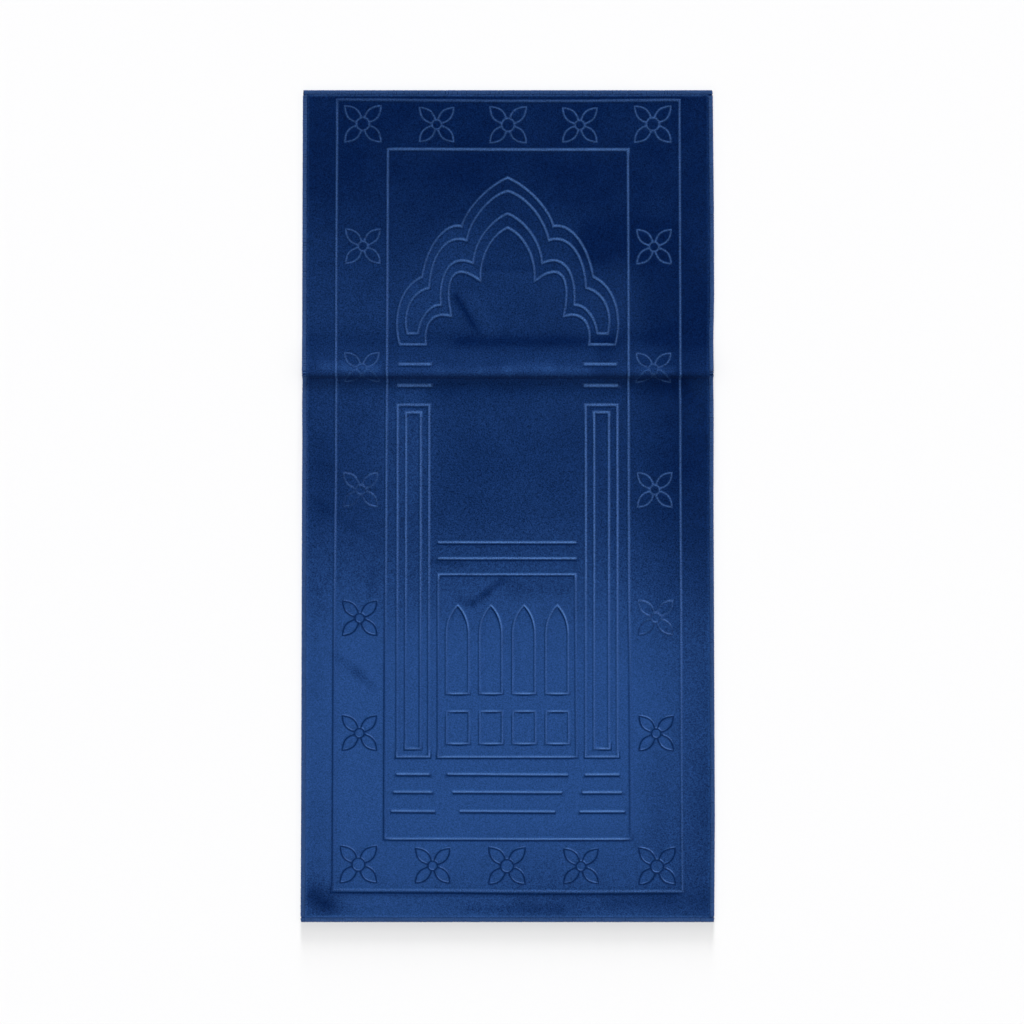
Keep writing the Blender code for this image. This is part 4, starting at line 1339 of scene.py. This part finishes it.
node(overlock, "NodeGroupOutput", inputs={"Geometry": sewn})
print("the overlock tree has", len(overlock.nodes), "nodes")

# %% The thread's material
PLY_LENGTH = 1.6
THREAD_DARK, THREAD_LIGHT = (0.020, 0.058, 0.178), (0.058, 0.146, 0.4)
TWIST_TONE, FUZZ_TONE, AGE_TONE, DARKER = 0.35, 0.5, 0.3, 0.1

thread, tree, shader = new_material("overlock_thread", 0.8, sheen=0.05, sheen_tint=(0.4, 0.5, 1.0))
length = maths(tree, "DIVIDE", attribute(tree, "thread_length"), PLY_LENGTH)
ply = maths(tree, "ADD", length, attribute(tree, "thread_turn"))
twist = maths(tree, "ABSOLUTE", maths(tree, "SINE", maths(tree, "MULTIPLY", ply, math.tau)))
place = node(tree, "ShaderNodeTexCoord").outputs["Object"]
fuzz = noise_tone(tree, place, scale=1500.0, detail=3.0)
age = noise_tone(tree, place, scale=60.0, detail=2.0)
thread_tone = weighted(tree, (twist, TWIST_TONE), (fuzz, FUZZ_TONE), (age, AGE_TONE))
thread_tone = maths(tree, "SUBTRACT", thread_tone, DARKER)
thread_colour = blend_colours(tree, thread_tone, THREAD_DARK, THREAD_LIGHT)
cover(tree, shader, thread_colour, maths(tree, "ADD", twist, fuzz), strength=0.5, distance=0.0002)
print("the thread has", len(tree.nodes), "nodes")

# %% Overlock the four sides
END_GAP, PATH_STEP, END_POINTS = 1.9, 4.0, 120
OUTWARD = {
    "left": (-1.0, 0.0, 0.0),
    "right": (1.0, 0.0, 0.0),
    "top": (0.0, 1.0, 0.0),
    "bottom": (0.0, -1.0, 0.0),
}


def edge_path(side):
    """Cloth points along one side's outline, counter-clockwise round the rug as seen from above."""
    if side in ("left", "right"):
        down = np.arange(EDGE_WIDTH + END_GAP, CUT_LENGTH - EDGE_WIDTH - END_GAP, PATH_STEP)
        down = np.sort(np.concatenate([down, STATIONS[1:-1, 0]]))
        path_x, path_d = np.full(len(down), -HALF if side == "left" else HALF), down
    else:
        path_x = np.linspace(END_GAP - HALF, HALF - END_GAP, END_POINTS)
        path_d = np.full(len(path_x), 0.0 if side == "top" else CUT_LENGTH)
    return (path_x[::-1], path_d[::-1]) if side in ("right", "top") else (path_x, path_d)


edges = {}
for seed, (side, outward) in enumerate(OUTWARD.items(), start=1):
    path_x, path_d = edge_path(side)
    spots = lay(path_x, path_d, np.zeros(len(path_x)))
    path_mesh = bpy.data.meshes.new("path")
    path_mesh.from_pydata([tuple(p) for p in spots], [(k, k + 1) for k in range(len(spots) - 1)], [])
    inputs = {"Turn": turn, "Pitch": TURN_PITCH * MM, "Outward": outward, "Seed": seed, "Thread": thread}
    name = "overlock_" + side
    edges[side] = put(name, grown(name, path_mesh, overlock, inputs))
    print(name, "has", len(edges[side].data.polygons), "faces")
bpy.data.objects.remove(turn)

# %% [markdown]
# ## Floor, light and camera
#
# The rug lies on a plain white floor under soft light. The key light is low and beyond the arch's end,
# a little to the right, because only a low light shows a relief 1 mm high: it lights the upper side of
# each line and the slow rise of the fold, and leaves the steep side dark. It reaches the rug alone. The
# floor has a fill of its own, which keeps it white, and two low, wide washes, which give the soft
# shadow below the foot. The camera looks straight down through a long lens, leaning by about a degree.

# %% Floor
FLOOR_HALF, FLOOR_DROP = 4.0, 0.0003
FLOOR_WHITE = (0.86, 0.86, 0.865, 1.0)

floor_mesh = bpy.data.meshes.new("floor")
ways_out = ((-1, -1), (1, -1), (1, 1), (-1, 1))
corners = [(sx * FLOOR_HALF, sy * FLOOR_HALF, -FLOOR_DROP) for sx, sy in ways_out]
floor_mesh.from_pydata(corners, [], [(0, 1, 2, 3)])
floor = put("floor", floor_mesh)
paper, tree, shader = new_material("white_floor", 0.9)
shader.inputs["Base Color"].default_value = FLOOR_WHITE
floor_mesh.materials.append(paper)

# %% Lights
SUN_COLUMNS = ("name", "azimuth", "elevation", "strength", "angle", "lights")
SUN_ROWS = (
    ("key", 12.0, 37.0, 1.15, 16.0, "rug"),
    ("overhead", 0.0, 90.0, 0.94, 30.0, "all"),
    ("floor fill", 0.0, 90.0, 0.85, 30.0, "floor"),
    ("near wash", 0.0, 15.0, 1.2, 18.0, "floor"),
    ("far wash", 0.0, 6.5, 5.0, 9.0, "floor"),
)
LIT_BY = {"rug": [panel, *edges.values()], "floor": [floor]}
SKY = 0.3


def sun(name, azimuth, elevation, strength, angle, lights):
    """A soft, far light. Azimuth 0 is beyond the arch's end, and 90 is to the right."""
    light = bpy.data.lights.new(name, "SUN")
    light.energy, light.angle = strength, math.radians(angle)
    lamp = put(name, light)
    a, e = math.radians(azimuth), math.radians(elevation)
    towards = Vector((math.sin(a) * math.cos(e), math.cos(a) * math.cos(e), math.sin(e)))
    lamp.rotation_euler = towards.to_track_quat("Z", "Y").to_euler()
    if lights in LIT_BY:
        receivers = bpy.data.collections.new("lit by " + name)
        for obj in LIT_BY[lights]:
            receivers.objects.link(obj)
        lamp.light_linking.receiver_collection = receivers


for row in records(SUN_COLUMNS, SUN_ROWS):
    sun(**row)
world = bpy.data.worlds.new("studio")
world.use_nodes = True
background = world.node_tree.nodes["Background"].inputs
background["Color"].default_value = (1.0, 1.0, 1.0, 1.0)
background["Strength"].default_value = SKY
bpy.context.scene.world = world
bpy.context.scene.view_settings.view_transform = "Standard"

# %% Camera
CAMERA_FAR, CAMERA_TILT = 3.0, 1.31
FRAME_WIDTH = 1.4903
AIM_X, AIM_Y = 0.0057, -0.0114

camera_data = bpy.data.cameras.new("camera")
camera_data.lens = camera_data.sensor_width * CAMERA_FAR / FRAME_WIDTH
camera = put("camera", camera_data)
tilt = math.radians(CAMERA_TILT)
forward = Vector((0.0, math.sin(tilt), -math.cos(tilt)))
camera.location = Vector((AIM_X, AIM_Y, THICK * MM)) - forward * CAMERA_FAR
camera.rotation_euler = (tilt, 0.0, 0.0)
bpy.context.scene.camera = camera
print(f"lens {camera_data.lens:.1f} mm at {CAMERA_FAR:.1f} m")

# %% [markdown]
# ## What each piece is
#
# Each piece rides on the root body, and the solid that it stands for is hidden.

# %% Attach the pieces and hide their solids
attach(panel, "root")
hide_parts("rug_panel")
for side, edge in edges.items():
    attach(edge, "root")
    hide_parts("edge_" + side)
